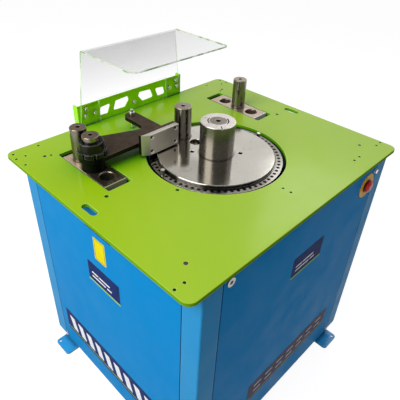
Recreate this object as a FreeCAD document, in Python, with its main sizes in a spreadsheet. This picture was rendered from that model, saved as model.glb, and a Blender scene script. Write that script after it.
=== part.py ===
import FreeCAD, Part
import Sketcher
import math
import os
import re

# Floor-standing bar bending machine: a steel cabinet with a table, a geared bending disc with a mandrel
# and a bending pin, two bar plates with fixed pins, a square lever with a wear plate and a clear guard.
# Units are millimetres. The origin is on the floor, below the middle of the table.
# X runs along the front edge of the table, Y from front to back and Z upwards.

V = FreeCAD.Vector

# Driving sizes
sizes = {
    # table plate
    "table_length": 930.0,
    "table_width": 778.0,
    "table_top": 875.0,
    "table_thickness": 10.0,
    "table_corner": 25.0,
    "table_edge": 2.0,
    "slot_x": 432.5,
    "slot_y": -2.5,
    "slot_width": 21.0,
    "slot_length": 57.0,
    "table_screw_end": 32.0,
    "table_screw_side": 84.0,
    "table_screw_head": 11.0,
    "table_screw_shank": 6.0,
    "corner_hole_x": 454.0,
    "corner_hole_y": 336.0,
    "inner_hole_x": 426.0,
    "back_hole_x": 449.0,
    "back_hole_y": 366.0,
    "back_inner_hole_x": 369.0,
    "side_hole_y": 291.0,
    "middle_hole_y": 15.0,
    "small_hole": 8.0,
    "middle_hole": 12.0,
    "lone_hole_x": -214.0,
    "lone_hole_y": -87.0,
    "lone_hole": 11.0,
    "front_pair_x": 4.0,
    "front_pair_y": -287.0,
    "front_pair_pitch": 25.0,
    "edge_pair_x": 303.0,
    "edge_pair_y": -334.0,
    "edge_pair_pitch": 31.0,
    # cabinet
    "cabinet_length": 836.0,
    "cabinet_width": 764.0,
    "sheet": 3.0,
    "seam": 1.5,
    "panel_bottom": 57.0,
    "post_x": 62.0,
    "post_y": 60.0,
    "post_corner": 5.0,
    "rail": 40.0,
    "rail_wall": 5.0,
    "vent_y": 2.0,
    "vent_length": 122.0,
    "vent_height": 20.0,
    "vent_drop": 97.0,
    # feet
    "foot_length": 86.0,
    "foot_outside": 35.0,
    "foot_inside": 13.0,
    "foot_plate": 6.0,
    "foot_corner": 13.0,
    "foot_end": 22.0,
    "foot_top": 25.0,
    "foot_hole": 10.0,
    "foot_hole_end": 12.0,
    "foot_hole_edge": 13.0,
    "foot_screw": 8.0,
    "panel_screw": 8.0,
    "panel_screw_end": 11.0,
    "panel_screw_rise": 18.0,
    "corner_screw_drop": 41.0,
    "corner_screw_end": 8.0,
    # disc
    "disc_x": 3.0,
    "disc_y": -25.6,
    "disc_opening": 212.5,
    "disc_radius": 202.0,
    "disc_ring_drop": 6.2,
    "disc_ring_thickness": 18.0,
    "disc_centre_radius": 178.0,
    "disc_centre_rise": 3.6,
    "index_radius": 190.5,
    "index_hole": 8.0,
    "index_count": 66,
    "spare_socket_x": -1.5,
    "spare_socket_y": 87.0,
    "roller_socket": 36.0,
    "jack_hole": 13.0,
    "jack_x": 51.6,
    "jack_y": 52.2,
    "trip_start_angle": 170.6,
    "trip_end_angle": -4.0,
    "trip_pin": 12.0,
    "trip_pin_rise": 13.7,
    "trip_pin_reach": 16.0,
    # mandrel and rollers
    "mandrel_radius": 52.3,
    "mandrel_top": 109.4,
    "mandrel_pin_radius": 26.0,
    "mandrel_spigot": 40.0,
    "mandrel_slit_outer": 32.0,
    "mandrel_slit_inner": 28.5,
    "mandrel_slit_depth": 14.0,
    "mandrel_slit_gap": 50.0,
    "mandrel_mark": 3.0,
    "mandrel_hole": 15.0,
    "slit_angle": -48.0,
    "mark_angle_1": -125.0,
    "mark_angle_2": 109.0,
    "bending_pin_x": -4.0,
    "bending_pin_y": 143.6,
    "bending_pin_radius": 27.0,
    "bending_pin_top": 108.0,
    "pin_hole": 13.0,
    "pin_hole_depth": 26.0,
    "pin_chamfer": 1.6,
    # bar plates and fixed pins
    "bar_end": 104.0,
    "bar_width": 73.0,
    "bar_front": 50.0,
    "bar_back": 259.0,
    "bar_thickness": 40.0,
    "bar_edge": 1.5,
    "bar_cut_width": 77.0,
    "bar_cut_front": 29.0,
    "bar_cut_back": 280.0,
    "bar_cut_corner": 6.0,
    "socket": 42.4,
    "socket_chamfer": 2.0,
    "socket_middle_y": 154.0,
    "socket_pitch": 62.0,
    "fixed_pin_radius": 24.0,
    "fixed_pin_top": 104.0,
    "spigot_length": 36.0,
    "support_width": 92.0,
    "support_thickness": 14.0,
    "bar_screw": 12.0,
    "bar_screw_y": 10.0,
    "bar_screw_depth": 20.0,
    # notched collar and lever
    "collar_body": 30.0,
    "collar_neck": 35.0,
    "collar_top": 87.0,
    "flange_radius": 40.7,
    "flange_thickness": 14.8,
    "notch_count": 8,
    "notch_radius": 4.0,
    "notch_clearance": 0.6,
    "lever_top": 46.0,
    "lever_thickness": 14.0,
    "lever_boss": 34.0,
    "eye_radius": 40.5,
    "eye_inner": 37.4,
    "leg_x": -83.0,
    "leg_y": 272.0,
    "leg_radius": 22.5,
    "arm_inner_y": 17.3,
    "arm_outer_y": 85.8,
    "arm_fillet": 20.0,
    "plate_left": -184.0,
    "plate_right": -50.0,
    "plate_front": 86.0,
    "plate_thickness": 13.0,
    "plate_bottom": 8.5,
    "plate_top": 75.0,
    "plate_bevel": 23.0,
    "plate_edge": 1.5,
    "backing_thickness": 12.0,
    "plate_screw": 9.0,
    "plate_screw_left": 30.0,
    "plate_screw_right": 12.0,
    "plate_screw_low": 20.0,
    "plate_screw_high": 65.0,
    "level_screw": 10.0,
    "level_head": 18.0,
    "level_head_height": 12.0,
    "level_rise": 20.0,
    # guard
    "guard_x": 13.0,
    "guard_sheet": 5.0,
    "guard_top": 250.0,
    "guard_front": 130.0,
    "guard_top_width": 388.0,
    "guard_bottom_width": 440.0,
    "guard_leg_left": 76.0,
    "guard_leg_right": 70.0,
    "guard_leg_top": 80.0,
    "guard_lift": 1.0,
    "guard_inset": 4.0,
    "guard_left_corner": 30.0,
    "guard_right_corner": 12.0,
    "guard_bend": 12.0,
    "bracket_width": 452.0,
    "bracket_height": 72.0,
    "bracket_sheet": 3.0,
    "ear_depth": 25.0,
    "guard_screw": 8.0,
    "guard_screw_1_u": 196.0,
    "guard_screw_1_rise": 58.0,
    "guard_screw_2_u": 201.0,
    "guard_screw_2_rise": 35.0,
    "guard_screw_3_u": 165.0,
    "guard_screw_3_rise": 36.0,
    "guard_screw_middle_rise": 26.0,
    "inner_window_1_u": 26.0,
    "inner_window_1_rise": 55.0,
    "inner_window_2_u": 77.0,
    "inner_window_2_rise": 52.0,
    "inner_window_3_u": 89.0,
    "inner_window_3_rise": 20.0,
    "inner_window_4_u": 40.0,
    "inner_window_4_rise": 18.0,
    "inner_window_5_u": 21.0,
    "inner_window_5_rise": 41.0,
    "outer_window_1_u": 98.0,
    "outer_window_1_rise": 50.0,
    "outer_window_2_u": 139.0,
    "outer_window_2_rise": 46.0,
    "outer_window_3_u": 145.0,
    "outer_window_3_rise": 18.0,
    "outer_window_4_u": 112.0,
    "outer_window_4_rise": 17.0,
    "window_corner": 6.0,
    "hinge_y": 12.0,
    "hinge_rise": 20.0,
    "hinge_pin": 8.0,
    "hinge_block": 12.0,
    "hinge_round": 8.0,
    "hinge_plate": 54.0,
    "hinge_plate_height": 58.0,
    "hinge_plate_thickness": 6.0,
    # drive
    "spindle_radius": 35.0,
    "spindle_flange": 95.0,
    "spindle_flange_thickness": 20.0,
    "spindle_seat": 30.0,
    "disc_screw": 12.0,
    "disc_screw_circle": 62.0,
    "disc_screw_count": 6,
    "gearbox_drop": 60.0,
    "gearbox_depth": 181.0,
    "gearbox_wall": 10.0,
    "gearbox_roof": 24.0,
    "gearbox_left": 138.0,
    "gearbox_right": 269.0,
    "gearbox_front": 136.0,
    "gearbox_back": 171.0,
    "base_thickness": 24.0,
    "base_margin": 16.0,
    "base_front": 176.0,
    "base_back": 252.0,
    "bull_teeth": 60,
    "pinion_teeth": 20,
    "first_module": 4.0,
    "second_module": 3.0,
    "bull_face": 45.0,
    "bull_drop": 150.0,
    "second_face": 30.0,
    "second_drop": 215.0,
    "face_margin": 3.0,
    "tooth_play": 0.5,
    "pressure_angle": 20.0,
    "tooth_root": 1.25,
    "root_flat": 0.3,
    "flank_steps": 5,
    "bearing_height": 24.0,
    "spindle_bearing": 125.0,
    "lower_bearing": 110.0,
    "layshaft_radius": 17.5,
    "layshaft_bearing": 72.0,
    "motor_shaft_radius": 19.0,
    "motor_flange_radius": 86.0,
    "motor_flange": 14.0,
    "reducer_radius": 68.0,
    "reducer_length": 120.0,
    "motor_radius": 66.0,
    "motor_length": 220.0,
    "fin_count": 24,
    "fin_height": 7.0,
    "fin_width": 3.0,
    "cowl_length": 55.0,
    "terminal_length": 90.0,
    "terminal_depth": 34.0,
    "deck_beam": 40.0,
    "gearbox_screw": 12.0,
    # electrical pieces
    "box_end": 188.0,
    "box_length": 200.0,
    "box_height": 260.0,
    "box_depth": 80.0,
    "box_drop": 320.0,
    "box_wall": 3.0,
    "stop_end": 110.0,
    "stop_drop": 77.3,
    "stop_ring": 83.0,
    "stop_ring_thickness": 2.5,
    "stop_neck": 45.0,
    "stop_neck_length": 3.0,
    "stop_head": 40.5,
    "stop_head_length": 10.5,
    "stop_rim_low": 1.2,
    "stop_rim_high": 4.2,
    "stop_shoulder": 7.0,
    "stop_shoulder_inset": 1.9,
    "stop_crown": 9.2,
    "stop_crown_inset": 6.5,
    "stop_recess": 6.5,
    "stop_travel": 2.5,
    "stop_stem": 14.0,
    "stop_stem_length": 52.0,
    "stop_hole": 22.0,
    "stop_block": 34.0,
    "stop_block_depth": 48.0,
    "lock_end": 88.0,
    "lock_drop": 33.0,
    "lock_radius": 12.5,
    "lock_core": 7.0,
    "lock_depth": 14.0,
    "lock_slot": 2.5,
    "lock_face": 2.1,
    "switch_angle": 175.7,
    "switch_reach": 33.0,
    "switch_length": 40.0,
    "switch_width": 30.0,
    "switch_height": 60.0,
    "switch_axis_drop": 62.0,
    "switch_shaft": 4.0,
    "switch_roller": 5.0,
    "switch_arm": 25.0,
    "gland_end": 118.0,
    "gland_rise": 130.0,
    "gland_hole": 14.0,
    "gland_body": 26.0,
    "gland_nut": 36.0,
    "gland_length": 24.0,
    # screw heads and washers, as shares of the screw's size
    "washer_share": 0.15,
    "washer_radius_share": 1.05,
    "head_share": 0.65,
    "head_radius_share": 0.95,
    # clearances
    "fit": 0.05,
    "seat": 0.2,
    "screw_gap": 0.25,
    "round_margin": 0.01,
}

doc = FreeCAD.newDocument("bar_bending_machine")
sheet = doc.addObject("Spreadsheet::Sheet", "Sizes")
for row, (alias, value) in enumerate(sizes.items(), 1):
    sheet.set("A%d" % row, alias)
    sheet.set("B%d" % row, str(value))
    sheet.setAlias("B%d" % row, alias)
doc.recompute()

# Places that follow the cabinet's ends and sides
placed = {
    "table_screw_x": "(cabinet_length/2 - table_screw_end)",
    "table_screw_y": "(cabinet_width/2 - table_screw_side)",
    "bar_x": "(cabinet_length/2 - bar_end)",
    "box_x": "(box_end - cabinet_length/2)",
    "stop_x": "(cabinet_length/2 - stop_end)",
    "lock_x": "(lock_end - cabinet_length/2)",
    "gland_x": "(cabinet_length/2 - gland_end)",
}

# Where sketch lines and circles start before their constraints place them
GUESS_TURN = 0.3
GUESS_RADIUS = 90.0
GUESS_CENTRE = V(10, 10, 0)
GUESS_HOLE = 5.0

nodes = []
WORD = re.compile(r"[a-z][a-z0-9_]*")
TURNS = {
    "x": FreeCAD.Rotation(V(0, 1, 0), 90),
    "y": FreeCAD.Rotation(V(1, 0, 0), -90),
    "z": FreeCAD.Rotation(),
}


def formula(text):
    """Turns words that are sizes or places into references to the sheet."""
    text = WORD.sub(lambda m: placed.get(m.group(0), m.group(0)), str(text))
    return WORD.sub(lambda m: "Sizes." + m.group(0) if m.group(0) in sizes else m.group(0), text)


def bind(obj, prop, text):
    obj.setExpression(prop, formula(text))


def put(obj, place, turn=None):
    if turn is not None:
        obj.Placement = FreeCAD.Placement(V(0, 0, 0), turn)
    for axis, text in zip("xyz", place):
        bind(obj, "Placement.Base." + axis, text)
    return obj


def node(obj, label):
    obj.Label = label
    nodes.append(obj)
    return obj


# Primitives bound to the sheet
def box(name, low, span):
    obj = doc.addObject("Part::Box", name)
    for prop, text in zip(("Length", "Width", "Height"), span):
        bind(obj, prop, text)
    return put(obj, low)


def rod(name, foot, radius, length, axis="z"):
    obj = doc.addObject("Part::Cylinder", name)
    bind(obj, "Radius", radius)
    bind(obj, "Height", length)
    return put(obj, foot, TURNS[axis])


def cone(name, foot, start, end, length, axis="z"):
    obj = doc.addObject("Part::Cone", name)
    bind(obj, "Radius1", start)
    bind(obj, "Radius2", end)
    bind(obj, "Height", length)
    return put(obj, foot, TURNS[axis])


def hexagon(name, foot, radius, length, axis="z"):
    obj = doc.addObject("Part::Prism", name)
    obj.Polygon = 6
    bind(obj, "Circumradius", radius)
    bind(obj, "Height", length)
    return put(obj, foot, TURNS[axis])


def fuse(name, shapes):
    obj = doc.addObject("Part::MultiFuse", name)
    obj.Shapes = shapes
    return obj


def cut(name, base, tools):
    obj = doc.addObject("Part::Cut", name)
    obj.Base = base
    obj.Tool = tools[0] if len(tools) == 1 else fuse(name + "_tools", tools)
    return obj


def group(name, shapes):
    obj = doc.addObject("Part::Compound", name)
    obj.Links = shapes
    return obj


# Sketched bodies bound to the sheet
def start_body(name):
    return doc.addObject("PartDesign::Body", name)


def origin_part(owner, role):
    return [part for part in owner.Origin.OriginFeatures if part.Role == role][0]


def sketch(owner, name, role, polygons=(), circles=(), offset="0"):
    """A sketch whose corner points and circles are all bound to the sheet."""
    made = owner.newObject("Sketcher::SketchObject", name)
    made.AttachmentSupport = [(origin_part(owner, role), "")]
    made.MapMode = "FlatFace"
    bind(made, "AttachmentOffset.Base.z", offset)

    def fix_point(geometry, position, x, y, start):
        for axis, text, value, line in (("X", x, start.x, -2), ("Y", y, start.y, -1)):
            if text == "0":
                made.addConstraint(Sketcher.Constraint("PointOnObject", geometry, position, line))
                continue
            index = made.addConstraint(
                Sketcher.Constraint("Distance" + axis, -1, 1, geometry, position, value))
            label = "p%d%s" % (geometry, axis)
            made.renameConstraint(index, label)
            bind(made, "Constraints." + label, text)

    for points in polygons:
        count = len(points)
        first = made.GeometryCount
        spots = []
        for step in range(count):
            angle = 2 * math.pi * (step + GUESS_TURN) / count
            spots.append(V(GUESS_RADIUS * math.cos(angle), GUESS_RADIUS * math.sin(angle), 0))
        lines = [Part.LineSegment(spots[step], spots[(step + 1) % count]) for step in range(count)]
        made.addGeometry(lines, False)
        for step in range(count):
            made.addConstraint(
                Sketcher.Constraint("Coincident", first + step, 2, first + (step + 1) % count, 1))
        for step, (x, y) in enumerate(points):
            fix_point(first + step, 1, x, y, spots[step])
    for x, y, radius in circles:
        index = made.addGeometry(Part.Circle(GUESS_CENTRE, V(0, 0, 1), GUESS_HOLE), False)
        fix_point(index, 3, x, y, GUESS_CENTRE)
        spot = made.addConstraint(Sketcher.Constraint("Radius", index, GUESS_HOLE))
        made.renameConstraint(spot, "r%d" % index)
        bind(made, "Constraints.r%d" % index, radius)
    doc.recompute()
    return made


def pad(owner, name, profile, length, back=False):
    made = owner.newObject("PartDesign::Pad", name)
    made.Profile = profile
    bind(made, "Length", length)
    made.Reversed = back
    doc.recompute()
    return made


def pocket(owner, name, profile, depth=None, back=False):
    """A cut along the sketch's normal: right through, or to a depth."""
    before = owner.Shape.Volume
    made = owner.newObject("PartDesign::Pocket", name)
    made.Profile = profile
    if depth is None:
        made.Type = "ThroughAll"
        made.Midplane = True
    else:
        bind(made, "Length", depth)
        made.Reversed = back
    doc.recompute()
    if made.Shape.Volume > before - 1e-3:
        raise RuntimeError("pocket %s cuts nothing" % name)
    return made


def revolve(owner, name, profile):
    made = owner.newObject("PartDesign::Revolution", name)
    made.Profile = profile
    made.ReferenceAxis = (profile, ["V_Axis"])
    made.Angle = 360
    doc.recompute()
    return made


def turned(name, points, place):
    """A body turned about its own Z axis from a half profile of (radius, height) points."""
    owner = start_body(name)
    revolve(owner, name + "_turn", sketch(owner, name + "_profile", "XZ_Plane", [points]))
    put(owner, place)
    return owner


def corner_edges(feature, profile, indexes):
    """Names of the edges that stand on the given corners of a sketch."""
    found = []
    normal = profile.Placement.Rotation.multVec(V(0, 0, 1))
    for index in indexes:
        spot = profile.Placement.multVec(profile.Geometry[index].StartPoint)
        for number, edge in enumerate(feature.Shape.Edges, 1):
            gaps = []
            for vertex in edge.Vertexes:
                away = vertex.Point - spot
                gaps.append((away - normal * away.dot(normal)).Length)
            if len(gaps) == 2 and max(gaps) < 1e-4:
                found.append("Edge%d" % number)
    return found


def rim_edges(feature, profile, level, indexes=None):
    """Names of the circular edges over a sketch's circles, at a level along its normal."""
    found = []
    place = profile.Placement
    normal = place.Rotation.multVec(V(0, 0, 1))
    for index, shape in enumerate(profile.Geometry):
        if not isinstance(shape, Part.Circle) or (indexes is not None and index not in indexes):
            continue
        spot = place.multVec(shape.Center)
        for number, edge in enumerate(feature.Shape.Edges, 1):
            if not isinstance(edge.Curve, Part.Circle):
                continue
            away = edge.Curve.Center - spot
            if (away - normal * away.dot(normal)).Length > 1e-4:
                continue
            if abs(edge.Curve.Radius - shape.Radius) > 1e-4:
                continue
            if abs(edge.Curve.Center.dot(normal) - level) < 1e-4:
                found.append("Edge%d" % number)
    return found


def level_edges(feature, direction, level):
    """Names of all edges that lie in one plane of a solid."""
    found = []
    for number, edge in enumerate(feature.Shape.Edges, 1):
        low = edge.BoundBox
        ends = {"x": (low.XMin, low.XMax), "y": (low.YMin, low.YMax), "z": (low.ZMin, low.ZMax)}[direction]
        if abs(ends[0] - level) < 1e-3 and abs(ends[1] - level) < 1e-3:
            found.append("Edge%d" % number)
    return found


def fillet(owner, name, feature, edges, radius):
    made = owner.newObject("PartDesign::Fillet", name)
    made.Base = (feature, edges)
    bind(made, "Radius", radius)
    doc.recompute()
    return made


def chamfer(owner, name, feature, edges, size):
    made = owner.newObject("PartDesign::Chamfer", name)
    made.Base = (feature, edges)
    bind(made, "Size", size)
    doc.recompute()
    return made


def rectangle(x, y, length, width):
    """Four corner points around a centre."""
    return [
        ("%s - (%s)/2" % (x, length), "%s - (%s)/2" % (y, width)),
        ("%s + (%s)/2" % (x, length), "%s - (%s)/2" % (y, width)),
        ("%s + (%s)/2" % (x, length), "%s + (%s)/2" % (y, width)),
        ("%s - (%s)/2" % (x, length), "%s + (%s)/2" % (y, width)),
    ]


def screw(name, seat_point, size, shank, axis="z", out=1):
    """A hexagon head with a washer on a face and a shank that goes the other way."""
    way = "xyz".index(axis)
    washer = "%s*washer_share" % size
    head = "%s*head_share" % size

    def foot(start, length):
        spot = list(seat_point)
        shift = start if out > 0 else "-(%s) - (%s)" % (start, length)
        spot[way] = "%s + %s" % (spot[way], shift)
        return spot

    return fuse(name, [
        rod(name + "_washer", foot("0", washer), "%s*washer_radius_share" % size, washer, axis),
        hexagon(name + "_head", foot(washer, head), "%s*head_radius_share" % size, head, axis),
        rod(name + "_shank", foot("-(%s)" % shank, shank), "%s/2" % size, shank, axis),
    ])


# Often used levels and planes
UNDER_TABLE = "table_top - table_thickness"
DISC_TOP = "table_top + disc_centre_rise"
DISC_UNDER = "table_top - disc_ring_drop - disc_ring_thickness"
FRONT = "-cabinet_width/2"
BACK = "cabinet_width/2"
SIDES = ((-1, "left"), (1, "right"))
ENDS = ((-1, "front"), (1, "back"))

# Table plate with the disc opening, bar plate cut-outs, lifting slots and small holes
table = node(start_body("table_plate"), "table_plate")
outline = sketch(table, "table_outline", "XY_Plane", [rectangle("0", "0", "table_length", "table_width")])
slab = pad(table, "table_slab", outline, "table_thickness")
slab = fillet(table, "table_corners", slab, corner_edges(slab, outline, range(4)), "table_corner")
slab = fillet(table, "table_rim", slab, level_edges(slab, "z", sizes["table_thickness"]), "table_edge")
opening = sketch(table, "disc_opening_sketch", "XY_Plane", circles=[("disc_x", "disc_y", "disc_opening")])
pocket(table, "disc_opening_cut", opening)
cut_width = "bar_cut_width"
cut_middle = "(bar_cut_front + bar_cut_back)/2"
cut_length = "bar_cut_back - bar_cut_front"
cuts = sketch(table, "bar_cut_sketch", "XY_Plane", [
    rectangle("-bar_x", cut_middle, cut_width, cut_length),
    rectangle("bar_x", cut_middle, cut_width, cut_length),
])
slab = pocket(table, "bar_cuts", cuts)
slab = fillet(table, "bar_cut_corners", slab, corner_edges(slab, cuts, range(8)), "bar_cut_corner")
slots = sketch(table, "slot_sketch", "XY_Plane", [
    rectangle("-slot_x", "slot_y", "slot_width", "slot_length"),
    rectangle("slot_x", "slot_y", "slot_width", "slot_length"),
])
slab = pocket(table, "slot_cuts", slots)
slab = fillet(table, "slot_ends", slab, corner_edges(slab, slots, range(8)), "slot_width/2 - round_margin")
small = []
for side, word in SIDES:
    for end, name in ENDS:
        small.append(("%d*corner_hole_x" % side, "%d*corner_hole_y" % end, "small_hole/2"))
        small.append(("%d*inner_hole_x" % side, "%d*corner_hole_y" % end, "small_hole/2"))
    small.append(("%d*back_hole_x" % side, "back_hole_y", "small_hole/2"))
    small.append(("%d*back_inner_hole_x" % side, "back_hole_y", "small_hole/2"))
    small.append(("%d*back_hole_x" % side, "side_hole_y", "small_hole/2"))
    small.append(("%d*back_inner_hole_x" % side, "side_hole_y", "small_hole/2"))
    small.append(("%d*back_inner_hole_x" % side, "middle_hole_y", "middle_hole/2"))
    for end, name in ENDS:
        small.append(("%d*table_screw_x" % side, "%d*table_screw_y" % end,
                      "table_screw_shank/2 + screw_gap"))
small.append(("lone_hole_x", "lone_hole_y", "lone_hole/2"))
for side in (-1, 1):
    small.append(("front_pair_x", "front_pair_y + %d*front_pair_pitch/2" % side, "small_hole/2"))
    small.append(("edge_pair_x + %d*edge_pair_pitch/2" % side, "edge_pair_y", "small_hole/2"))
holes = sketch(table, "small_hole_sketch", "XY_Plane", circles=small)
slab = pocket(table, "small_hole_cuts", holes)
sinks = []
for side, word in SIDES:
    for end, name in ENDS:
        sinks.append(("%d*table_screw_x" % side, "%d*table_screw_y" % end,
                      "table_screw_head/2 + screw_gap"))
sink_sketch = sketch(table, "sink_sketch", "XY_Plane", circles=sinks, offset="table_thickness")
pocket(table, "sink_cuts", sink_sketch, "table_screw_head/4")
put(table, ("0", "0", UNDER_TABLE))

# Screws that hold the table plate, flush with its top
table_screws = []
for side, word in SIDES:
    for end, name in ENDS:
        spot = ("%d*table_screw_x" % side, "%d*table_screw_y" % end)
        tag = "table_screw_%s_%s" % (name, word)
        head = rod(tag + "_head", spot + ("table_top - table_screw_head/4",),
                   "table_screw_head/2", "table_screw_head/4 - seat")
        shank = rod(tag + "_shank", spot + (UNDER_TABLE + " - rail_wall",),
                    "table_screw_shank/2", "table_thickness + rail_wall - table_screw_head/4")
        table_screws.append(fuse(tag, [head, shank]))
node(group("table_screws", table_screws), "table_screws")

# Folded corner posts of the cabinet
post_top = UNDER_TABLE
for end, name in ENDS:
    pair = []
    for side, word in SIDES:
        tag = "post_%s_%s" % (name, word)
        owner = start_body(tag)
        corner_x = "%d*cabinet_length/2" % side
        corner_y = "%d*cabinet_width/2" % end
        inner_x = "%d*(cabinet_length/2 - sheet)" % side
        inner_y = "%d*(cabinet_width/2 - sheet)" % end
        far_x = "%d*(cabinet_length/2 - post_x)" % side
        far_y = "%d*(cabinet_width/2 - post_y)" % end
        profile = sketch(owner, tag + "_profile", "XY_Plane", [[
            (corner_x, corner_y), (far_x, corner_y), (far_x, inner_y),
            (inner_x, inner_y), (inner_x, far_y), (corner_x, far_y)]])
        folded = pad(owner, tag + "_pad", profile, post_top + " - panel_bottom")
        folded = fillet(owner, tag + "_fold", folded, corner_edges(folded, profile, [0]), "post_corner")
        fillet(owner, tag + "_inner_fold", folded, corner_edges(folded, profile, [3]), "post_corner - sheet")
        put(owner, ("0", "0", "panel_bottom"))
        pair.append(owner)
    node(group(name + "_posts", pair), name + "_posts")


# Angle section rings of the frame
def frame_ring(name, top, flange_low=False):
    length = "cabinet_length - 2*sheet"
    width = "cabinet_width - 2*sheet"
    hollow = "%s - rail" % top + (" + rail_wall" if flange_low else "")
    outer = box(name + "_outer", ("-(%s)/2" % length, "-(%s)/2" % width, "%s - rail" % top),
                (length, width, "rail"))
    through = box(name + "_through", ("-(%s)/2 + rail" % length, "-(%s)/2 + rail" % width, "%s - rail" % top),
                  ("%s - 2*rail" % length, "%s - 2*rail" % width, "rail"))
    under = box(name + "_under",
                ("-(%s)/2 + rail_wall" % length, "-(%s)/2 + rail_wall" % width, hollow),
                ("%s - 2*rail_wall" % length, "%s - 2*rail_wall" % width, "rail - rail_wall"))
    corners = []
    for side, word in SIDES:
        for end, place in ENDS:
            corners.append(rod("%s_%s_%s" % (name, place, word),
                               ("%d*(cabinet_length/2 - sheet)" % side, "%d*(cabinet_width/2 - sheet)" % end,
                                "%s - rail" % top), "post_corner", "rail"))
    return cut(name, outer, [through, under] + corners)


upper = frame_ring("upper_ring", UNDER_TABLE)
screw_holes = []
for side, word in SIDES:
    for end, name in ENDS:
        screw_holes.append(rod("upper_hole_%s_%s" % (name, word),
                               ("%d*table_screw_x" % side, "%d*table_screw_y" % end,
                                UNDER_TABLE + " - rail"), "table_screw_shank/2 + screw_gap", "rail"))
screw_holes.append(rod("upper_lock_hole", ("lock_x", "-cabinet_width/2 + sheet", "table_top - lock_drop"),
                       "lock_radius", "rail_wall", "y"))
node(cut("upper_frame", upper, screw_holes), "upper_frame")

deck_top = "table_top - gearbox_drop - gearbox_depth - base_thickness"
deck = frame_ring("deck_ring", deck_top)
beams = [deck]
for name, line in (("front", "disc_y - base_front"), ("back", "disc_y + base_back - deck_beam")):
    beams.append(box("deck_beam_" + name,
                     ("-cabinet_length/2 + sheet + rail_wall", line, deck_top + " - deck_beam"),
                     ("cabinet_length - 2*sheet - 2*rail_wall", "deck_beam", "deck_beam")))
node(fuse("deck_frame", beams), "deck_frame")

node(frame_ring("lower_frame", "panel_bottom + rail", True), "lower_frame")

# Side, front and rear panels between the posts
PANEL_HEIGHT = UNDER_TABLE + " - panel_bottom - seam"


def panel(name, role, offset, half, shapes=(), circles=(), back=False):
    owner = start_body(name)
    outline = sketch(owner, name + "_outline", role, [
        [("-(%s)" % half, "panel_bottom"), (half, "panel_bottom"),
         (half, "%s - seam" % UNDER_TABLE), ("-(%s)" % half, "%s - seam" % UNDER_TABLE)]],
        offset=offset)
    made = pad(owner, name + "_sheet", outline, "sheet", back)
    if circles:
        pocket(owner, name + "_holes", sketch(owner, name + "_hole_sketch", role, circles=circles,
                                              offset=offset))
    if shapes:
        profile = sketch(owner, name + "_slot_sketch", role, shapes, offset=offset)
        made = pocket(owner, name + "_slot", profile)
        fillet(owner, name + "_slot_ends", made, corner_edges(made, profile, range(4)),
               "vent_height/2 - round_margin")
    return node(owner, name)


half_x = "cabinet_length/2 - post_x - seam"
half_y = "cabinet_width/2 - post_y - seam"
hole = "panel_screw/2 + screw_gap"
low_row = "panel_bottom + panel_screw_rise"
end_x = "cabinet_length/2 - post_x - panel_screw_end"
end_y = "cabinet_width/2 - post_y - panel_screw_end"
top_x = "cabinet_length/2 - post_x - corner_screw_end"
panel("front_panel", "XZ_Plane", BACK + " - sheet", half_x, circles=[
    ("stop_x", "table_top - stop_drop", "stop_hole/2 + screw_gap"),
    ("lock_x", "table_top - lock_drop", "lock_core + seat"),
    (top_x, "table_top - corner_screw_drop", hole),
    ("-(%s)" % end_x, low_row, hole), (end_x, low_row, hole)])
panel("rear_panel", "XZ_Plane", FRONT, half_x, circles=[
    ("gland_x", "gland_rise", "gland_body/2 + screw_gap"),
    ("-(%s)" % top_x, "table_top - corner_screw_drop", hole),
    (top_x, "table_top - corner_screw_drop", hole),
    ("-(%s)" % end_x, low_row, hole), (end_x, low_row, hole)])
side_holes = [("-(%s)" % end_y, low_row, hole), (end_y, low_row, hole)]
vent = [rectangle("vent_y", "(table_top - vent_drop + vent_height/2)", "vent_length", "vent_height")]
panel("left_panel", "YZ_Plane", "-cabinet_length/2", half_y, vent, side_holes)
panel("right_panel", "YZ_Plane", "cabinet_length/2 - sheet", half_y, vent, side_holes)

# Screws of the panels
panel_screws = []
for end, name in ENDS:
    face = "%d*cabinet_width/2" % end
    for side, word in SIDES:
        panel_screws.append(screw("%s_low_screw_%s" % (name, word),
                                  ("%d*(%s)" % (side, end_x), face, low_row),
                                  "panel_screw", "sheet", "y", end))
        if end > 0 or side > 0:
            panel_screws.append(screw("%s_top_screw_%s" % (name, word),
                                      ("%d*(%s)" % (side, top_x), face, "table_top - corner_screw_drop"),
                                      "panel_screw", "sheet", "y", end))
for side, word in SIDES:
    for end, name in ENDS:
        panel_screws.append(screw("%s_side_screw_%s" % (word, name),
                                  ("%d*cabinet_length/2" % side, "%d*(%s)" % (end, end_y), low_row),
                                  "panel_screw", "sheet", "x", side))
node(group("panel_screws", panel_screws), "panel_screws")


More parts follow.
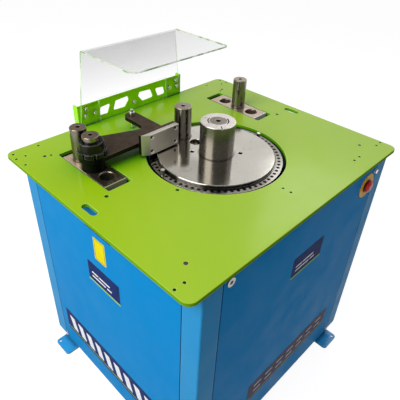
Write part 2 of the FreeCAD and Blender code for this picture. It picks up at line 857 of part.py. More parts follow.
# Angle feet under the lower frame, two at each corner
def foot(name, side, end, across):
    """One bent foot: a floor flange, a web and a top flange under the frame."""
    owner = start_body(name)
    if across:
        role = "YZ_Plane"
        wall = "%d*(cabinet_width/2 - foot_inside)" % end
        reach = "%d*(cabinet_width/2 + foot_outside)" % end
        inner = "%d*(cabinet_width/2 - foot_inside - foot_plate)" % end
        top = "%d*(cabinet_width/2 - foot_inside - foot_plate - foot_top)" % end
        start = "cabinet_length/2 - foot_end - foot_length" if side > 0 else "-cabinet_length/2 + foot_end"
    else:
        role = "XZ_Plane"
        wall = "%d*(cabinet_length/2 - foot_inside)" % side
        reach = "%d*(cabinet_length/2 + foot_outside)" % side
        inner = "%d*(cabinet_length/2 - foot_inside - foot_plate)" % side
        top = "%d*(cabinet_length/2 - foot_inside - foot_plate - foot_top)" % side
        start = "-cabinet_width/2 + foot_end" if end > 0 else "cabinet_width/2 - foot_end - foot_length"
    points = [(inner, "0"), (reach, "0"), (reach, "foot_plate"), (wall, "foot_plate"),
              (wall, "panel_bottom"), (top, "panel_bottom"), (top, "panel_bottom - foot_plate"),
              (inner, "panel_bottom - foot_plate")]
    profile = sketch(owner, name + "_profile", role, [points], offset=start)
    bent = pad(owner, name + "_pad", profile, "foot_length")
    return owner, bent, profile


feet_front = []
feet_back = []
foot_corner_x = "cabinet_length/2 - foot_end"
foot_corner_y = "cabinet_width/2 - foot_end"
for side, word in SIDES:
    for end, name in ENDS:
        for across in (True, False):
            tag = "foot_%s_%s_%s" % (name, word, "across" if across else "along")
            owner, bent, profile = foot(tag, side, end, across)
            if across:
                hole_x = "%d*(%s - foot_hole_end)" % (side, foot_corner_x)
                hole_y = "%d*(cabinet_width/2 + foot_outside - foot_hole_edge)" % end
            else:
                hole_x = "%d*(cabinet_length/2 + foot_outside - foot_hole_edge)" % side
                hole_y = "%d*(%s - foot_hole_end)" % (end, foot_corner_y)
            spot = sketch(owner, tag + "_hole", "XY_Plane", circles=[(hole_x, hole_y, "foot_hole/2")])
            if across:
                screw_x = "%d*(%s - foot_length/2)" % (side, foot_corner_x)
                screw_y = "%d*(cabinet_width/2 - foot_inside - foot_plate - foot_top/2)" % end
            else:
                screw_x = "%d*(cabinet_length/2 - foot_inside - foot_plate - foot_top/2)" % side
                screw_y = "%d*(%s - foot_length/2)" % (end, foot_corner_y)
            bent = pocket(owner, tag + "_bore", spot)
            over = sketch(owner, tag + "_screw_hole", "XY_Plane",
                          circles=[(screw_x, screw_y, "foot_screw/2 + screw_gap")],
                          offset="panel_bottom - foot_plate")
            bent = pocket(owner, tag + "_screw_bore", over, "foot_plate", True)
            far = []
            reach = (sizes["cabinet_width"] if across else sizes["cabinet_length"]) / 2 + sizes["foot_outside"]
            for number, edge in enumerate(bent.Shape.Edges, 1):
                limits = edge.BoundBox
                line = (limits.YMin, limits.YMax, end) if across else (limits.XMin, limits.XMax, side)
                if abs(line[0] - line[2] * reach) < 1e-3 and abs(line[1] - line[2] * reach) < 1e-3 \
                        and abs(limits.ZMax - limits.ZMin - sizes["foot_plate"]) < 1e-3:
                    far.append("Edge%d" % number)
            fillet(owner, tag + "_corners", bent, far, "foot_corner")
            (feet_front if end < 0 else feet_back).append((owner, screw_x, screw_y, tag))
node(group("front_feet", [item[0] for item in feet_front]), "front_feet")
node(group("rear_feet", [item[0] for item in feet_back]), "rear_feet")
foot_screws = []
for owner, screw_x, screw_y, tag in feet_front + feet_back:
    foot_screws.append(screw(tag + "_screw", (screw_x, screw_y, "panel_bottom - foot_plate"),
                             "foot_screw", "foot_plate", "z", -1))

# Bending disc: an indexed outer ring below a raised centre, with sockets and jack holes
disc = node(start_body("bending_disc"), "bending_disc")
height = "disc_ring_thickness + disc_ring_drop + disc_centre_rise"
profile = sketch(disc, "disc_profile", "XZ_Plane", [[
    ("mandrel_spigot/2 + fit", "0"), ("disc_radius", "0"), ("disc_radius", "disc_ring_thickness"),
    ("disc_centre_radius", "disc_ring_thickness"), ("disc_centre_radius", height + " - pin_chamfer"),
    ("disc_centre_radius - pin_chamfer", height), ("mandrel_spigot/2 + fit", height)]])
revolve(disc, "disc_turn", profile)
sockets = sketch(disc, "disc_socket_sketch", "XY_Plane", circles=[
    ("spare_socket_x", "spare_socket_y", "roller_socket/2"),
    ("bending_pin_x", "bending_pin_y", "roller_socket/2"),
    ("-jack_x", "jack_y", "jack_hole/2"),
    ("jack_x", "-jack_y", "jack_hole/2")])
cut_disc = pocket(disc, "disc_sockets", sockets)
top_level = sizes["disc_ring_thickness"] + sizes["disc_ring_drop"] + sizes["disc_centre_rise"]
chamfer(disc, "disc_socket_rims", cut_disc, rim_edges(cut_disc, sockets, top_level), "pin_chamfer/2")
index = sketch(disc, "index_sketch", "XY_Plane", circles=[
    ("index_radius*cos(trip_start_angle)", "index_radius*sin(trip_start_angle)", "index_hole/2")])
hole_cut = pocket(disc, "index_hole_cut", index)
ring = disc.newObject("PartDesign::PolarPattern", "index_holes")
ring.Originals = [hole_cut]
ring.Axis = (origin_part(disc, "Z_Axis"), [""])
ring.Angle = 360
bind(ring, "Occurrences", "index_count")
disc.Tip = ring
put(disc, ("disc_x", "disc_y", DISC_UNDER))

# Trip pins in two index holes: a head on the ring and a tail below it
pitch = 360.0 / sizes["index_count"]
steps = round((sizes["trip_start_angle"] - sizes["trip_end_angle"]) / pitch)
trips = []
for number, turn in ((1, 0), (2, -steps)):
    angle = "(trip_start_angle + %d*360/index_count)" % turn
    spot = ("disc_x + index_radius*cos(%s)" % angle, "disc_y + index_radius*sin(%s)" % angle)
    head = rod("trip_head_%d" % number, spot + ("table_top - disc_ring_drop",), "trip_pin/2", "trip_pin_rise")
    tail = rod("trip_tail_%d" % number, spot + (DISC_UNDER + " - trip_pin_reach",), "index_hole/2 - fit",
               "disc_ring_thickness + trip_pin_reach")
    trips.append(fuse("trip_pin_%d" % number, [head, tail]))
node(group("trip_pins", trips), "trip_pins")

# Mandrel: a fixed centre pin in the disc and the thick sleeve that turns on it
mandrel_height = "mandrel_top - disc_centre_rise"
node(turned("mandrel_pin", [
    ("mandrel_hole/2", "0"), ("mandrel_pin_radius", "0"),
    ("mandrel_pin_radius", mandrel_height + " - pin_chamfer"),
    ("mandrel_pin_radius - pin_chamfer", mandrel_height),
    ("mandrel_hole/2", mandrel_height), ("mandrel_hole/2", mandrel_height + " - pin_hole_depth"),
    ("0", mandrel_height + " - pin_hole_depth - mandrel_hole/4"),
    ("0", "-disc_ring_thickness - disc_ring_drop - disc_centre_rise + seat"),
    ("mandrel_spigot/2", "-disc_ring_thickness - disc_ring_drop - disc_centre_rise + seat"),
    ("mandrel_spigot/2", "0")], ("disc_x", "disc_y", DISC_TOP)), "mandrel_pin")
sleeve = turned("mandrel_sleeve_turned", [
    ("mandrel_pin_radius + fit", "seat"), ("mandrel_radius", "seat"),
    ("mandrel_radius", mandrel_height + " - pin_chamfer"),
    ("mandrel_radius - pin_chamfer", mandrel_height),
    ("mandrel_pin_radius + fit", mandrel_height)], ("disc_x", "disc_y", DISC_TOP))
slit_ring = cut("slit_ring", rod("slit_outer", ("0", "0", "0"), "mandrel_slit_outer",
                                 "mandrel_slit_depth*2"), [
    rod("slit_inner", ("0", "0", "0"), "mandrel_slit_inner", "mandrel_slit_depth*2"),
    box("slit_bridge", ("-mandrel_slit_gap/2", "-mandrel_slit_outer", "0"),
        ("mandrel_slit_gap", "2*mandrel_slit_outer", "mandrel_slit_depth*2"))])
slit_foot = ("disc_x", "disc_y", "table_top + mandrel_top - mandrel_slit_depth")
sleeve_tools = [put(slit_ring, slit_foot, FreeCAD.Rotation(V(0, 0, 1), sizes["slit_angle"]))]
for number in (1, 2):
    blank = rod("mark_blank_%d" % number, ("0", "0", "0"), "mandrel_radius + mandrel_mark",
                "mandrel_slit_depth + mandrel_mark")
    others = [
        rod("mark_core_%d" % number, ("0", "0", "0"), "mandrel_slit_outer + mandrel_mark",
            "mandrel_slit_depth + mandrel_mark"),
        box("mark_low_%d" % number, ("-2*mandrel_radius", "-2*mandrel_radius", "0"),
            ("4*mandrel_radius", "4*mandrel_radius", "mandrel_slit_depth - mandrel_mark")),
        box("mark_left_%d" % number, ("-2*mandrel_radius", "mandrel_mark/2", "0"),
            ("4*mandrel_radius", "2*mandrel_radius", "2*mandrel_slit_depth")),
        box("mark_right_%d" % number, ("-2*mandrel_radius", "-2*mandrel_radius - mandrel_mark/2", "0"),
            ("4*mandrel_radius", "2*mandrel_radius", "2*mandrel_slit_depth")),
        box("mark_far_%d" % number, ("-2*mandrel_radius", "-mandrel_radius", "0"),
            ("2*mandrel_radius", "2*mandrel_radius", "2*mandrel_slit_depth"))]
    sleeve_tools.append(put(cut("rim_mark_%d" % number, blank, others), slit_foot,
                            FreeCAD.Rotation(V(0, 0, 1), sizes["mark_angle_%d" % number])))
node(cut("mandrel_sleeve", sleeve, sleeve_tools), "mandrel_sleeve")


# Pins with a shoulder, a spigot below it and a lifting hole in the top
def shouldered_pin(name, radius, height, spigot, spigot_length, place, lift="0"):
    return node(turned(name, [
        (radius, lift), (radius, height + " - pin_chamfer"), (radius + " - pin_chamfer", height),
        ("pin_hole/2", height), ("pin_hole/2", height + " - pin_hole_depth"),
        ("0", height + " - pin_hole_depth - pin_hole/4"), ("0", "-(%s)" % spigot_length),
        (spigot + " - pin_chamfer", "-(%s)" % spigot_length),
        (spigot, "-(%s) + pin_chamfer" % spigot_length), (spigot, lift)], place), name)


shouldered_pin("bending_pin", "bending_pin_radius", "bending_pin_top - disc_centre_rise",
               "roller_socket/2 - fit",
               "disc_ring_thickness + disc_ring_drop", ("disc_x + bending_pin_x", "disc_y + bending_pin_y",
                                                        DISC_TOP),
               "seat")
for name, side, step in (("rear_left_pin", -1, 1), ("middle_left_pin", -1, 0), ("right_pin", 1, 0)):
    shouldered_pin(name, "fixed_pin_radius", "fixed_pin_top", "socket/2 - fit", "spigot_length",
                   ("%d*bar_x" % side, "socket_middle_y + %d*socket_pitch" % step, "table_top"))

# Bar plates: thick steel bars with three sockets each, flush with the table
bar_middle = "(bar_front + bar_back)/2"
for side, word in SIDES:
    tag = word + "_bar_plate"
    bar = node(start_body(tag), tag)
    centre = "%d*bar_x" % side
    outline = sketch(bar, tag + "_outline", "XY_Plane",
                     [rectangle(centre, bar_middle, "bar_width", "bar_back - bar_front")])
    solid = pad(bar, tag + "_pad", outline, "bar_thickness")
    solid = chamfer(bar, tag + "_edges", solid, level_edges(solid, "z", sizes["bar_thickness"]), "bar_edge")
    sockets = sketch(bar, tag + "_sockets", "XY_Plane", circles=[
        (centre, "socket_middle_y + %d*socket_pitch" % step, "socket/2") for step in (-1, 0, 1)])
    solid = pocket(bar, tag + "_bores", sockets)
    solid = chamfer(bar, tag + "_rims", solid, rim_edges(solid, sockets, sizes["bar_thickness"]),
                    "socket_chamfer")
    threads = sketch(bar, tag + "_threads", "XY_Plane", circles=[
        (centre, "bar_front + bar_screw_y", "bar_screw/2 + screw_gap"),
        (centre, "bar_back - bar_screw_y", "bar_screw/2 + screw_gap")])
    pocket(bar, tag + "_thread_cuts", threads, "bar_screw_depth", True)
    put(bar, ("0", "0", "table_top - bar_thickness"))

supports = []
bar_screws = []
for side, word in SIDES:
    tag = word + "_support"
    beam = box(tag + "_beam", ("%d*bar_x - support_width/2" % side, "-cabinet_width/2 + sheet + rail_wall",
                               "table_top - bar_thickness - support_thickness"),
               ("support_width", "cabinet_width - 2*sheet - 2*rail_wall", "support_thickness"))
    tools = []
    for place, line in (("front", "bar_front + bar_screw_y"), ("back", "bar_back - bar_screw_y")):
        spot = ("%d*bar_x" % side, line, "table_top - bar_thickness - support_thickness")
        tools.append(rod("%s_%s_hole" % (tag, place), spot, "bar_screw/2 + screw_gap", "support_thickness"))
        bar_screws.append(screw("%s_%s_screw" % (tag, place), spot, "bar_screw",
                                "support_thickness + bar_screw_depth - screw_gap", "z", -1))
    supports.append(cut(tag, beam, tools))
node(group("bar_supports", supports), "bar_supports")

# Flanged bush on the pin: its body passes through the lever's eye and its flange fits round the next pin
collar = node(start_body("notched_collar"), "notched_collar")
bore = "fixed_pin_radius + fit"
flange_low = "lever_top + seat"
flange_high = flange_low + " + flange_thickness"
revolve(collar, "collar_turn", sketch(collar, "collar_profile", "XZ_Plane", [[
    (bore, "0"), ("collar_body", "0"), ("collar_body", flange_low),
    ("flange_radius - pin_chamfer/2", flange_low),
    ("flange_radius", flange_low + " + pin_chamfer/2"), ("flange_radius", flange_high + " - pin_chamfer"),
    ("flange_radius - pin_chamfer", flange_high), ("collar_neck", flange_high),
    ("collar_neck", "collar_top - pin_chamfer"), ("collar_neck - pin_chamfer", "collar_top"),
    (bore + " + pin_chamfer", "collar_top"), (bore, "collar_top - pin_chamfer")]]))
recess = sketch(collar, "recess_sketch", "XY_Plane",
                circles=[("0", "socket_pitch", "fixed_pin_radius + notch_clearance")])
pocket(collar, "flange_recess", recess)
notch_angle = "(90 + 180/notch_count)"
notch = sketch(collar, "notch_sketch", "XY_Plane", circles=[
    ("flange_radius*cos(%s)" % notch_angle, "flange_radius*sin(%s)" % notch_angle, "notch_radius")])
notch_cut = pocket(collar, "notch_cut", notch)
notches = collar.newObject("PartDesign::PolarPattern", "notches")
notches.Originals = [notch_cut]
notches.Axis = (origin_part(collar, "Z_Axis"), [""])
notches.Angle = 360
bind(notches, "Occurrences", "notch_count")
collar.Tip = notches
put(collar, ("-bar_x", "socket_middle_y", "table_top"))

# Square lever: a plate with an eye on the bush and a boss below it, a leg with the levelling screw
# and a backing bar
lever = node(start_body("stop_lever"), "stop_lever")
pin_x = "-bar_x"
pin_y = "socket_middle_y"
backing_front = "plate_front + plate_thickness"
backing_middle = backing_front + " + backing_thickness/2"
lever_low = "lever_top - lever_thickness"
stop_face = pin_x + " + fixed_pin_radius + notch_clearance"
eye = sketch(lever, "eye_sketch", "XY_Plane", circles=[(pin_x, pin_y, "eye_radius")], offset=lever_low)
pad(lever, "eye_pad", eye, "lever_thickness")
relief = sketch(lever, "eye_relief_sketch", "XY_Plane", [[
    (pin_x, pin_y), (pin_x + " + eye_radius", pin_y + " + 3*eye_radius/2"),
    (pin_x + " - eye_radius", pin_y + " + 3*eye_radius/2")]], offset=lever_low)
pocket(lever, "eye_relief", relief)
inner_eye = sketch(lever, "inner_eye_sketch", "XY_Plane", circles=[(pin_x, pin_y, "eye_inner")],
                   offset=lever_low)
pad(lever, "inner_eye_pad", inner_eye, "lever_thickness")
arm = sketch(lever, "arm_sketch", "XY_Plane", [[
    (pin_x, pin_y + " - eye_radius"), ("plate_left", pin_y + " - eye_radius"), ("plate_left", backing_middle),
    ("leg_x + leg_radius", backing_middle), ("leg_x + leg_radius", "leg_y"), ("leg_x - leg_radius", "leg_y"),
    ("leg_x - leg_radius", pin_y + " + arm_inner_y"), (stop_face, pin_y + " + arm_outer_y"),
    (stop_face, pin_y + " + eye_radius/2"), (pin_x, pin_y)]], offset=lever_low)
arm_pad = pad(lever, "arm_pad", arm, "lever_thickness")
fillet(lever, "arm_inner_corner", arm_pad, corner_edges(arm_pad, arm, [6]), "arm_fillet")
end = sketch(lever, "leg_end_sketch", "XY_Plane", circles=[("leg_x", "leg_y", "leg_radius")], offset=lever_low)
pad(lever, "leg_end_pad", end, "lever_thickness")
backing = sketch(lever, "backing_sketch", "XY_Plane", [[
    ("plate_left", backing_front), ("plate_right", backing_front),
    ("plate_right", backing_front + " + backing_thickness"),
    ("plate_left", backing_front + " + backing_thickness")]],
    offset="plate_bottom")
pad(lever, "backing_pad", backing, "plate_top - plate_bottom")
boss = sketch(lever, "boss_sketch", "XY_Plane", circles=[(pin_x, pin_y, "lever_boss")], offset="seat")
pad(lever, "boss_pad", boss, lever_low + " + lever_thickness/2 - seat")
bore = "collar_body + fit"
lever_bores = sketch(lever, "lever_bore_sketch", "XY_Plane", circles=[
    (pin_x, pin_y, bore), ("leg_x", "leg_y", "level_screw/2 + fit")])
pocket(lever, "lever_bores", lever_bores)
screw_spots = []
for place in ("plate_left + plate_screw_left", "plate_right - plate_screw_right"):
    for level in ("plate_screw_low", "plate_screw_high"):
        screw_spots.append((place, level))
thread = sketch(lever, "plate_thread_sketch", "XZ_Plane",
                circles=[spot + ("plate_screw/2",) for spot in screw_spots],
                offset="-(%s)" % backing_front)
pocket(lever, "plate_threads", thread, "backing_thickness")
put(lever, ("0", "0", "table_top"))

# Wear plate with a bevelled left end and countersunk screws
wear = node(start_body("wear_plate"), "wear_plate")
outline = sketch(wear, "wear_outline", "XY_Plane", [[
    ("plate_left", backing_front), ("plate_left + plate_bevel", "plate_front"),
    ("plate_right", "plate_front"), ("plate_right", backing_front)]], offset="plate_bottom")
solid = pad(wear, "wear_pad", outline, "plate_top - plate_bottom")
edges = []
for number, edge in enumerate(solid.Shape.Edges, 1):
    limits = edge.BoundBox
    if abs(limits.YMin - sizes["plate_front"]) < 1e-3 and abs(limits.YMax - sizes["plate_front"]) < 1e-3 \
            and abs(limits.ZMin - sizes["plate_top"]) < 1e-3:
        edges.append("Edge%d" % number)
solid = chamfer(wear, "wear_top_edge", solid, edges, "plate_edge")
wear_holes = sketch(wear, "wear_hole_sketch", "XZ_Plane",
                    circles=[spot + ("plate_screw/2",) for spot in screw_spots], offset="-plate_front")
solid = pocket(wear, "wear_holes", wear_holes)
chamfer(wear, "wear_sinks", solid, rim_edges(solid, wear_holes, -sizes["plate_front"]), "plate_screw/4")
put(wear, ("0", "0", "table_top"))
wear_screws = []
for number, (place, level) in enumerate(screw_spots):
    wear_screws.append(rod("wear_screw_%d" % number, (place, "plate_front + plate_screw/4",
                                                      "table_top + " + level),
                           "plate_screw/2 - fit", "plate_thickness + backing_thickness - plate_screw/4", "y"))
node(group("wear_plate_screws", wear_screws), "wear_plate_screws")

node(turned("levelling_screw", [
    ("0", "seat"), ("level_screw/2 - pin_chamfer", "seat"), ("level_screw/2", "seat + pin_chamfer"),
    ("level_screw/2", "lever_top + seat"), ("level_head/2", "lever_top + seat"),
    ("level_head/2", "lever_top + level_head_height - pin_chamfer/2"),
    ("level_head/2 - pin_chamfer/2", "lever_top + level_head_height"),
    ("level_screw/2", "lever_top + level_head_height"), ("level_screw/2", "lever_top + level_rise"),
    ("0", "lever_top + level_rise")], ("leg_x", "leg_y", "table_top")), "levelling_screw")

# Clear guard: one sheet, upright at the back with two legs, bent to a flat top
guard_back = "table_width/2 - guard_inset"
guard = node(start_body("guard_sheet"), "guard_sheet")
low = "table_top + guard_lift"
high = "table_top + guard_top"
left_low = "guard_x - guard_bottom_width/2"
right_low = "guard_x + guard_bottom_width/2"
bend = sketch(guard, "guard_profile", "YZ_Plane", [[
    (guard_back + " - guard_sheet", low), (guard_back, low), (guard_back, high), ("guard_front", high),
    ("guard_front", high + " - guard_sheet"), (guard_back + " - guard_sheet", high + " - guard_sheet")]],
    offset=left_low)
solid = pad(guard, "guard_pad", bend, "guard_bottom_width")
solid = fillet(guard, "guard_outer_bend", solid, corner_edges(solid, bend, [2]), "guard_bend")
solid = fillet(guard, "guard_inner_bend", solid, corner_edges(solid, bend, [5]), "guard_bend - guard_sheet")
side_shapes = []
for side, word in SIDES:
    bottom_x = "guard_x + %d*guard_bottom_width/2" % side
    top_x_guard = "guard_x + %d*guard_top_width/2" % side
    far_x = "guard_x + %d*guard_bottom_width" % side
    side_shapes.append([
        (bottom_x, low + " - guard_sheet"), (bottom_x, low), (top_x_guard, high + " - guard_bend"),
        (top_x_guard, high + " + guard_sheet"), (far_x, high + " + guard_sheet"),
        (far_x, low + " - guard_sheet")])
side_shapes.append([
    (left_low + " + guard_leg_left", low + " - guard_sheet"),
    (left_low + " + guard_leg_left", "table_top + guard_leg_top"),
    (right_low + " - guard_leg_right", "table_top + guard_leg_top"),
    (right_low + " - guard_leg_right", low + " - guard_sheet")])
solid = pocket(guard, "guard_trim", sketch(guard, "guard_trim_sketch", "XZ_Plane", side_shapes))


def standing_edges(feature, x, y):
    """Names of the upright edges at a point of the plan."""
    found = []
    for number, edge in enumerate(feature.Shape.Edges, 1):
        limits = edge.BoundBox
        gaps = (limits.XMin - x, limits.XMax - x, limits.YMin - y, limits.YMax - y)
        if max(abs(gap) for gap in gaps) < 1e-3:
            found.append("Edge%d" % number)
    return found


half_roof = sizes["guard_top_width"] / 2
solid = fillet(guard, "guard_left_round", solid,
               standing_edges(solid, sizes["guard_x"] - half_roof, sizes["guard_front"]), "guard_left_corner")
solid = fillet(guard, "guard_right_round", solid,
               standing_edges(solid, sizes["guard_x"] + half_roof, sizes["guard_front"]),
               "guard_right_corner")
guard_spots = []
for side, word in SIDES:
    for number in (1, 2, 3):
        guard_spots.append(("guard_x + %d*guard_screw_%d_u" % (side, number),
                            "table_top + guard_screw_%d_rise" % number))
guard_holes = sketch(guard, "guard_hole_sketch", "XZ_Plane",
                     circles=[spot + ("guard_screw/2 + screw_gap",) for spot in guard_spots],
                     offset="-(%s)" % guard_back)
pocket(guard, "guard_holes", guard_holes)

# Guard bracket: a folded strip with rounded windows and two hinge ears
bracket = node(start_body("guard_bracket"), "guard_bracket")
strip = sketch(bracket, "strip_sketch", "XZ_Plane", [
    rectangle("guard_x", "(table_top + guard_lift + bracket_height/2)", "bracket_width", "bracket_height")],
    offset="-(%s) - bracket_sheet" % guard_back)
pad(bracket, "strip_pad", strip, "bracket_sheet")
pivot_y = "table_width/2 + hinge_y"
pivot_z = "table_top + hinge_rise"
for side, word in SIDES:
    ear_x = "guard_x + %d*(bracket_width/2 - bracket_sheet/2) - bracket_sheet/2" % side
    ear = sketch(bracket, word + "_ear_sketch", "YZ_Plane", [[
        (guard_back, low), (guard_back + " + ear_depth", low),
        (guard_back + " + ear_depth", low + " + bracket_height"), (guard_back, low + " + bracket_height")]],
        offset=ear_x)
    made = pad(bracket, word + "_ear_pad", ear, "bracket_sheet")
    made = fillet(bracket, word + "_ear_round", made, corner_edges(made, ear, [1, 2]), "window_corner")
eye = sketch(bracket, "eye_sketch", "YZ_Plane", circles=[(pivot_y, pivot_z, "hinge_pin/2 + fit")])
pocket(bracket, "eyes", eye)
window_shapes = []
for side, word in SIDES:
    for kind, count in (("inner", 5), ("outer", 4)):
        window_shapes.append([
            ("guard_x + %d*%s_window_%d_u" % (side, kind, number),
             "table_top + %s_window_%d_rise" % (kind, number))
            for number in range(1, count + 1)])
windows = sketch(bracket, "window_sketch", "XZ_Plane", window_shapes, offset="-(%s)" % guard_back)
made = pocket(bracket, "windows", windows)
fillet(bracket, "window_corners", made, corner_edges(made, windows, range(18)), "window_corner")
middle_spot = ("guard_x", "table_top + guard_screw_middle_rise")
bracket_holes = sketch(bracket, "bracket_hole_sketch", "XZ_Plane",
                       circles=[spot + ("guard_screw/2 + screw_gap",) for spot in guard_spots + [middle_spot]],
                       offset="-(%s)" % guard_back)
pocket(bracket, "bracket_holes", bracket_holes)
guard_screws = []
for number, (place, level) in enumerate(guard_spots + [middle_spot]):
    front = guard_back + (" - guard_sheet" if number < len(guard_spots) else "")
    grip = "guard_sheet + bracket_sheet" if number < len(guard_spots) else "bracket_sheet"
    bolt = screw("guard_screw_%d" % number, (place, front, level), "guard_screw", grip, "y", -1)
    nut = hexagon("guard_nut_%d" % number, (place, guard_back + " + bracket_sheet", level),
                  "guard_screw*head_radius_share", "guard_screw*head_share", "y")
    guard_screws.append(fuse("guard_fastener_%d" % number, [bolt, nut]))
node(group("guard_screws", guard_screws), "guard_screws")

# Hinge blocks of the guard on the back of the cabinet, inside the ears
blocks = []
hinge_pins = []
hinge_screws = []
for side, word in SIDES:
    face = "guard_x + %d*(bracket_width/2 - bracket_sheet - seat)" % side
    block_x = "%s - hinge_block" % face if side > 0 else face
    centre_x = "%s + hinge_block/2" % block_x
    bottom = UNDER_TABLE + " - seam - hinge_plate_height"
    knuckle = box(word + "_knuckle", (block_x, pivot_y + " - hinge_round", bottom),
                  ("hinge_block", "2*hinge_round", "%s - (%s)" % (pivot_z, bottom)))
    eye_rod = rod(word + "_eye_round", (block_x, pivot_y, pivot_z), "hinge_round", "hinge_block", "x")
    foot_box = box(word + "_knuckle_foot", (block_x, BACK, bottom),
                   ("hinge_block", "%s + hinge_round - %s" % (pivot_y, BACK), "hinge_plate_height"))
    plate_box = box(word + "_hinge_plate", ("%s - hinge_plate/2" % centre_x, BACK, bottom),
                    ("hinge_plate", "hinge_plate_thickness", "hinge_plate_height"))
    tools = [rod(word + "_hinge_bore", (block_x, pivot_y, pivot_z), "hinge_pin/2", "hinge_block", "x")]
    for edge, shift in (("inner", -1), ("outer", 1)):
        spot_x = "%s + %d*(hinge_plate/2 - guard_screw)" % (centre_x, shift)
        spot_z = bottom + " + hinge_plate_height/2"
        tools.append(rod("%s_%s_hinge_hole" % (word, edge), (spot_x, BACK, spot_z),
                         "guard_screw/2 + screw_gap", "hinge_plate_thickness", "y"))
        hinge_screws.append(screw("%s_%s_hinge_screw" % (word, edge),
                                  (spot_x, BACK + " + hinge_plate_thickness", spot_z),
                                  "guard_screw", "hinge_plate_thickness", "y", 1))
    blocks.append(cut(word + "_hinge_block", fuse(word + "_hinge_solid",
                                                  [knuckle, eye_rod, foot_box, plate_box]), tools))
    pin_start = block_x if side > 0 else "%s - bracket_sheet - 3*seat" % block_x
    hinge_pins.append(rod(word + "_hinge_pin", (pin_start, pivot_y, pivot_z), "hinge_pin/2",
                          "hinge_block + bracket_sheet + 3*seat", "x"))
node(group("hinge_blocks", blocks), "hinge_blocks")
node(group("hinge_pins", hinge_pins), "hinge_pins")
node(group("hinge_screws", hinge_screws), "hinge_screws")


# Drive: spindle, two pairs of spur gears, bearings and a geared motor below the deck
def gear_shape(module, teeth, face, bore_radius, first_angle):
    """A spur gear with involute flanks, thinned by the tooth play."""
    pressure = math.radians(sizes["pressure_angle"])
    pitch_radius = module * teeth / 2
    base_radius = pitch_radius * math.cos(pressure)
    tip_radius = pitch_radius + module
    root_radius = pitch_radius - sizes["tooth_root"] * module
    half = (math.pi * module / 2 - sizes["tooth_play"]) / (2 * pitch_radius)
    involute = math.tan(pressure) - pressure
    start_radius = max(base_radius, root_radius + sizes["tooth_play"] / 2)
    steps = int(sizes["flank_steps"])
    flank = []
    for step in range(steps + 1):
        radius = start_radius + (tip_radius - start_radius) * step / steps
        turn = math.acos(min(1.0, base_radius / radius))
        flank.append((radius, half + involute - (math.tan(turn) - turn)))
    points = []
    for tooth in range(teeth):
        middle = math.radians(first_angle) + 2 * math.pi * tooth / teeth
        corner = flank[0][1] + math.radians(sizes["root_flat"])
        points.append((root_radius, middle - corner))
        points += [(radius, middle - angle) for radius, angle in flank]
        points += [(radius, middle + angle) for radius, angle in reversed(flank)]
        points.append((root_radius, middle + corner))
    spots = [V(radius * math.cos(angle), radius * math.sin(angle), 0) for radius, angle in points]
    blank = Part.Face(Part.makePolygon(spots + [spots[0]])).extrude(V(0, 0, face))
    if bore_radius:
        blank = blank.cut(Part.makeCylinder(bore_radius, face))
    return blank


def gear(name, module, teeth, face, bore_radius, first_angle, place):
    made = doc.addObject("Part::Feature", name)
    made.Shape = gear_shape(module, teeth, face, bore_radius, first_angle)
    return put(made, place)


bull = int(sizes["bull_teeth"])
small_teeth = int(sizes["pinion_teeth"])
half_pitch = 180.0 / small_teeth
LAY_X = "disc_x + first_module*(bull_teeth + pinion_teeth)/2"
MOTOR_X = LAY_X
MOTOR_Y = "disc_y + second_module*(bull_teeth + pinion_teeth)/2"
BASE_TOP = deck_top + " + base_thickness"
ROOF_TOP = "table_top - gearbox_drop"
reach = "(%s) - (%s)" % (DISC_UNDER, deck_top)
spindle = node(start_body("spindle"), "spindle")
revolve(spindle, "spindle_turn", sketch(spindle, "spindle_profile", "XZ_Plane", [[
    ("0", "0"), ("spindle_flange", "0"), ("spindle_flange", "-spindle_flange_thickness"),
    ("spindle_radius", "-spindle_flange_thickness"), ("spindle_radius",
                                                      "-(%s) + base_thickness + face_margin" % reach),
    ("spindle_seat", "-(%s) + base_thickness + face_margin" % reach), ("spindle_seat", "-(%s)" % reach),
    ("0", "-(%s)" % reach)]]))
screw_angles = [step * 360.0 / sizes["disc_screw_count"] for step in range(int(sizes["disc_screw_count"]))]
disc_spots = [("disc_screw_circle*cos(%s)" % angle,
               "disc_screw_circle*sin(%s)" % angle) for angle in screw_angles]
flange_holes = sketch(spindle, "flange_hole_sketch", "XY_Plane",
                      circles=[spot + ("disc_screw/2 + screw_gap",) for spot in disc_spots])
pocket(spindle, "flange_holes", flange_holes, "spindle_flange_thickness")
put(spindle, ("disc_x", "disc_y", DISC_UNDER))
blind = sketch(disc, "disc_thread_sketch", "XY_Plane",
               circles=[spot + ("disc_screw/2 + screw_gap",) for spot in disc_spots])
pocket(disc, "disc_threads", blind, "disc_screw", True)
disc_screws = []
for number, (x, y) in enumerate(disc_spots):
    disc_screws.append(screw("disc_screw_%d" % number,
                             ("disc_x + " + x, "disc_y + " + y, DISC_UNDER + " - spindle_flange_thickness"),
                             "disc_screw", "spindle_flange_thickness + disc_screw - screw_gap", "z", -1))
node(group("disc_screws", disc_screws), "disc_screws")
node(gear("bull_gear", sizes["first_module"], bull, sizes["bull_face"], sizes["spindle_radius"], 0.0,
          ("disc_x", "disc_y", "table_top - bull_drop")), "bull_gear")
lay_pinion = gear("lay_pinion", sizes["first_module"], small_teeth,
                  sizes["bull_face"] + 2 * sizes["face_margin"], 0,
                  180.0 - half_pitch, (LAY_X, "disc_y", "table_top - bull_drop - face_margin"))
lay_rod = rod("lay_rod", (LAY_X, "disc_y", deck_top), "layshaft_radius", "(%s) - (%s)" % (ROOF_TOP, deck_top))
node(fuse("layshaft", [lay_rod, lay_pinion]), "layshaft")
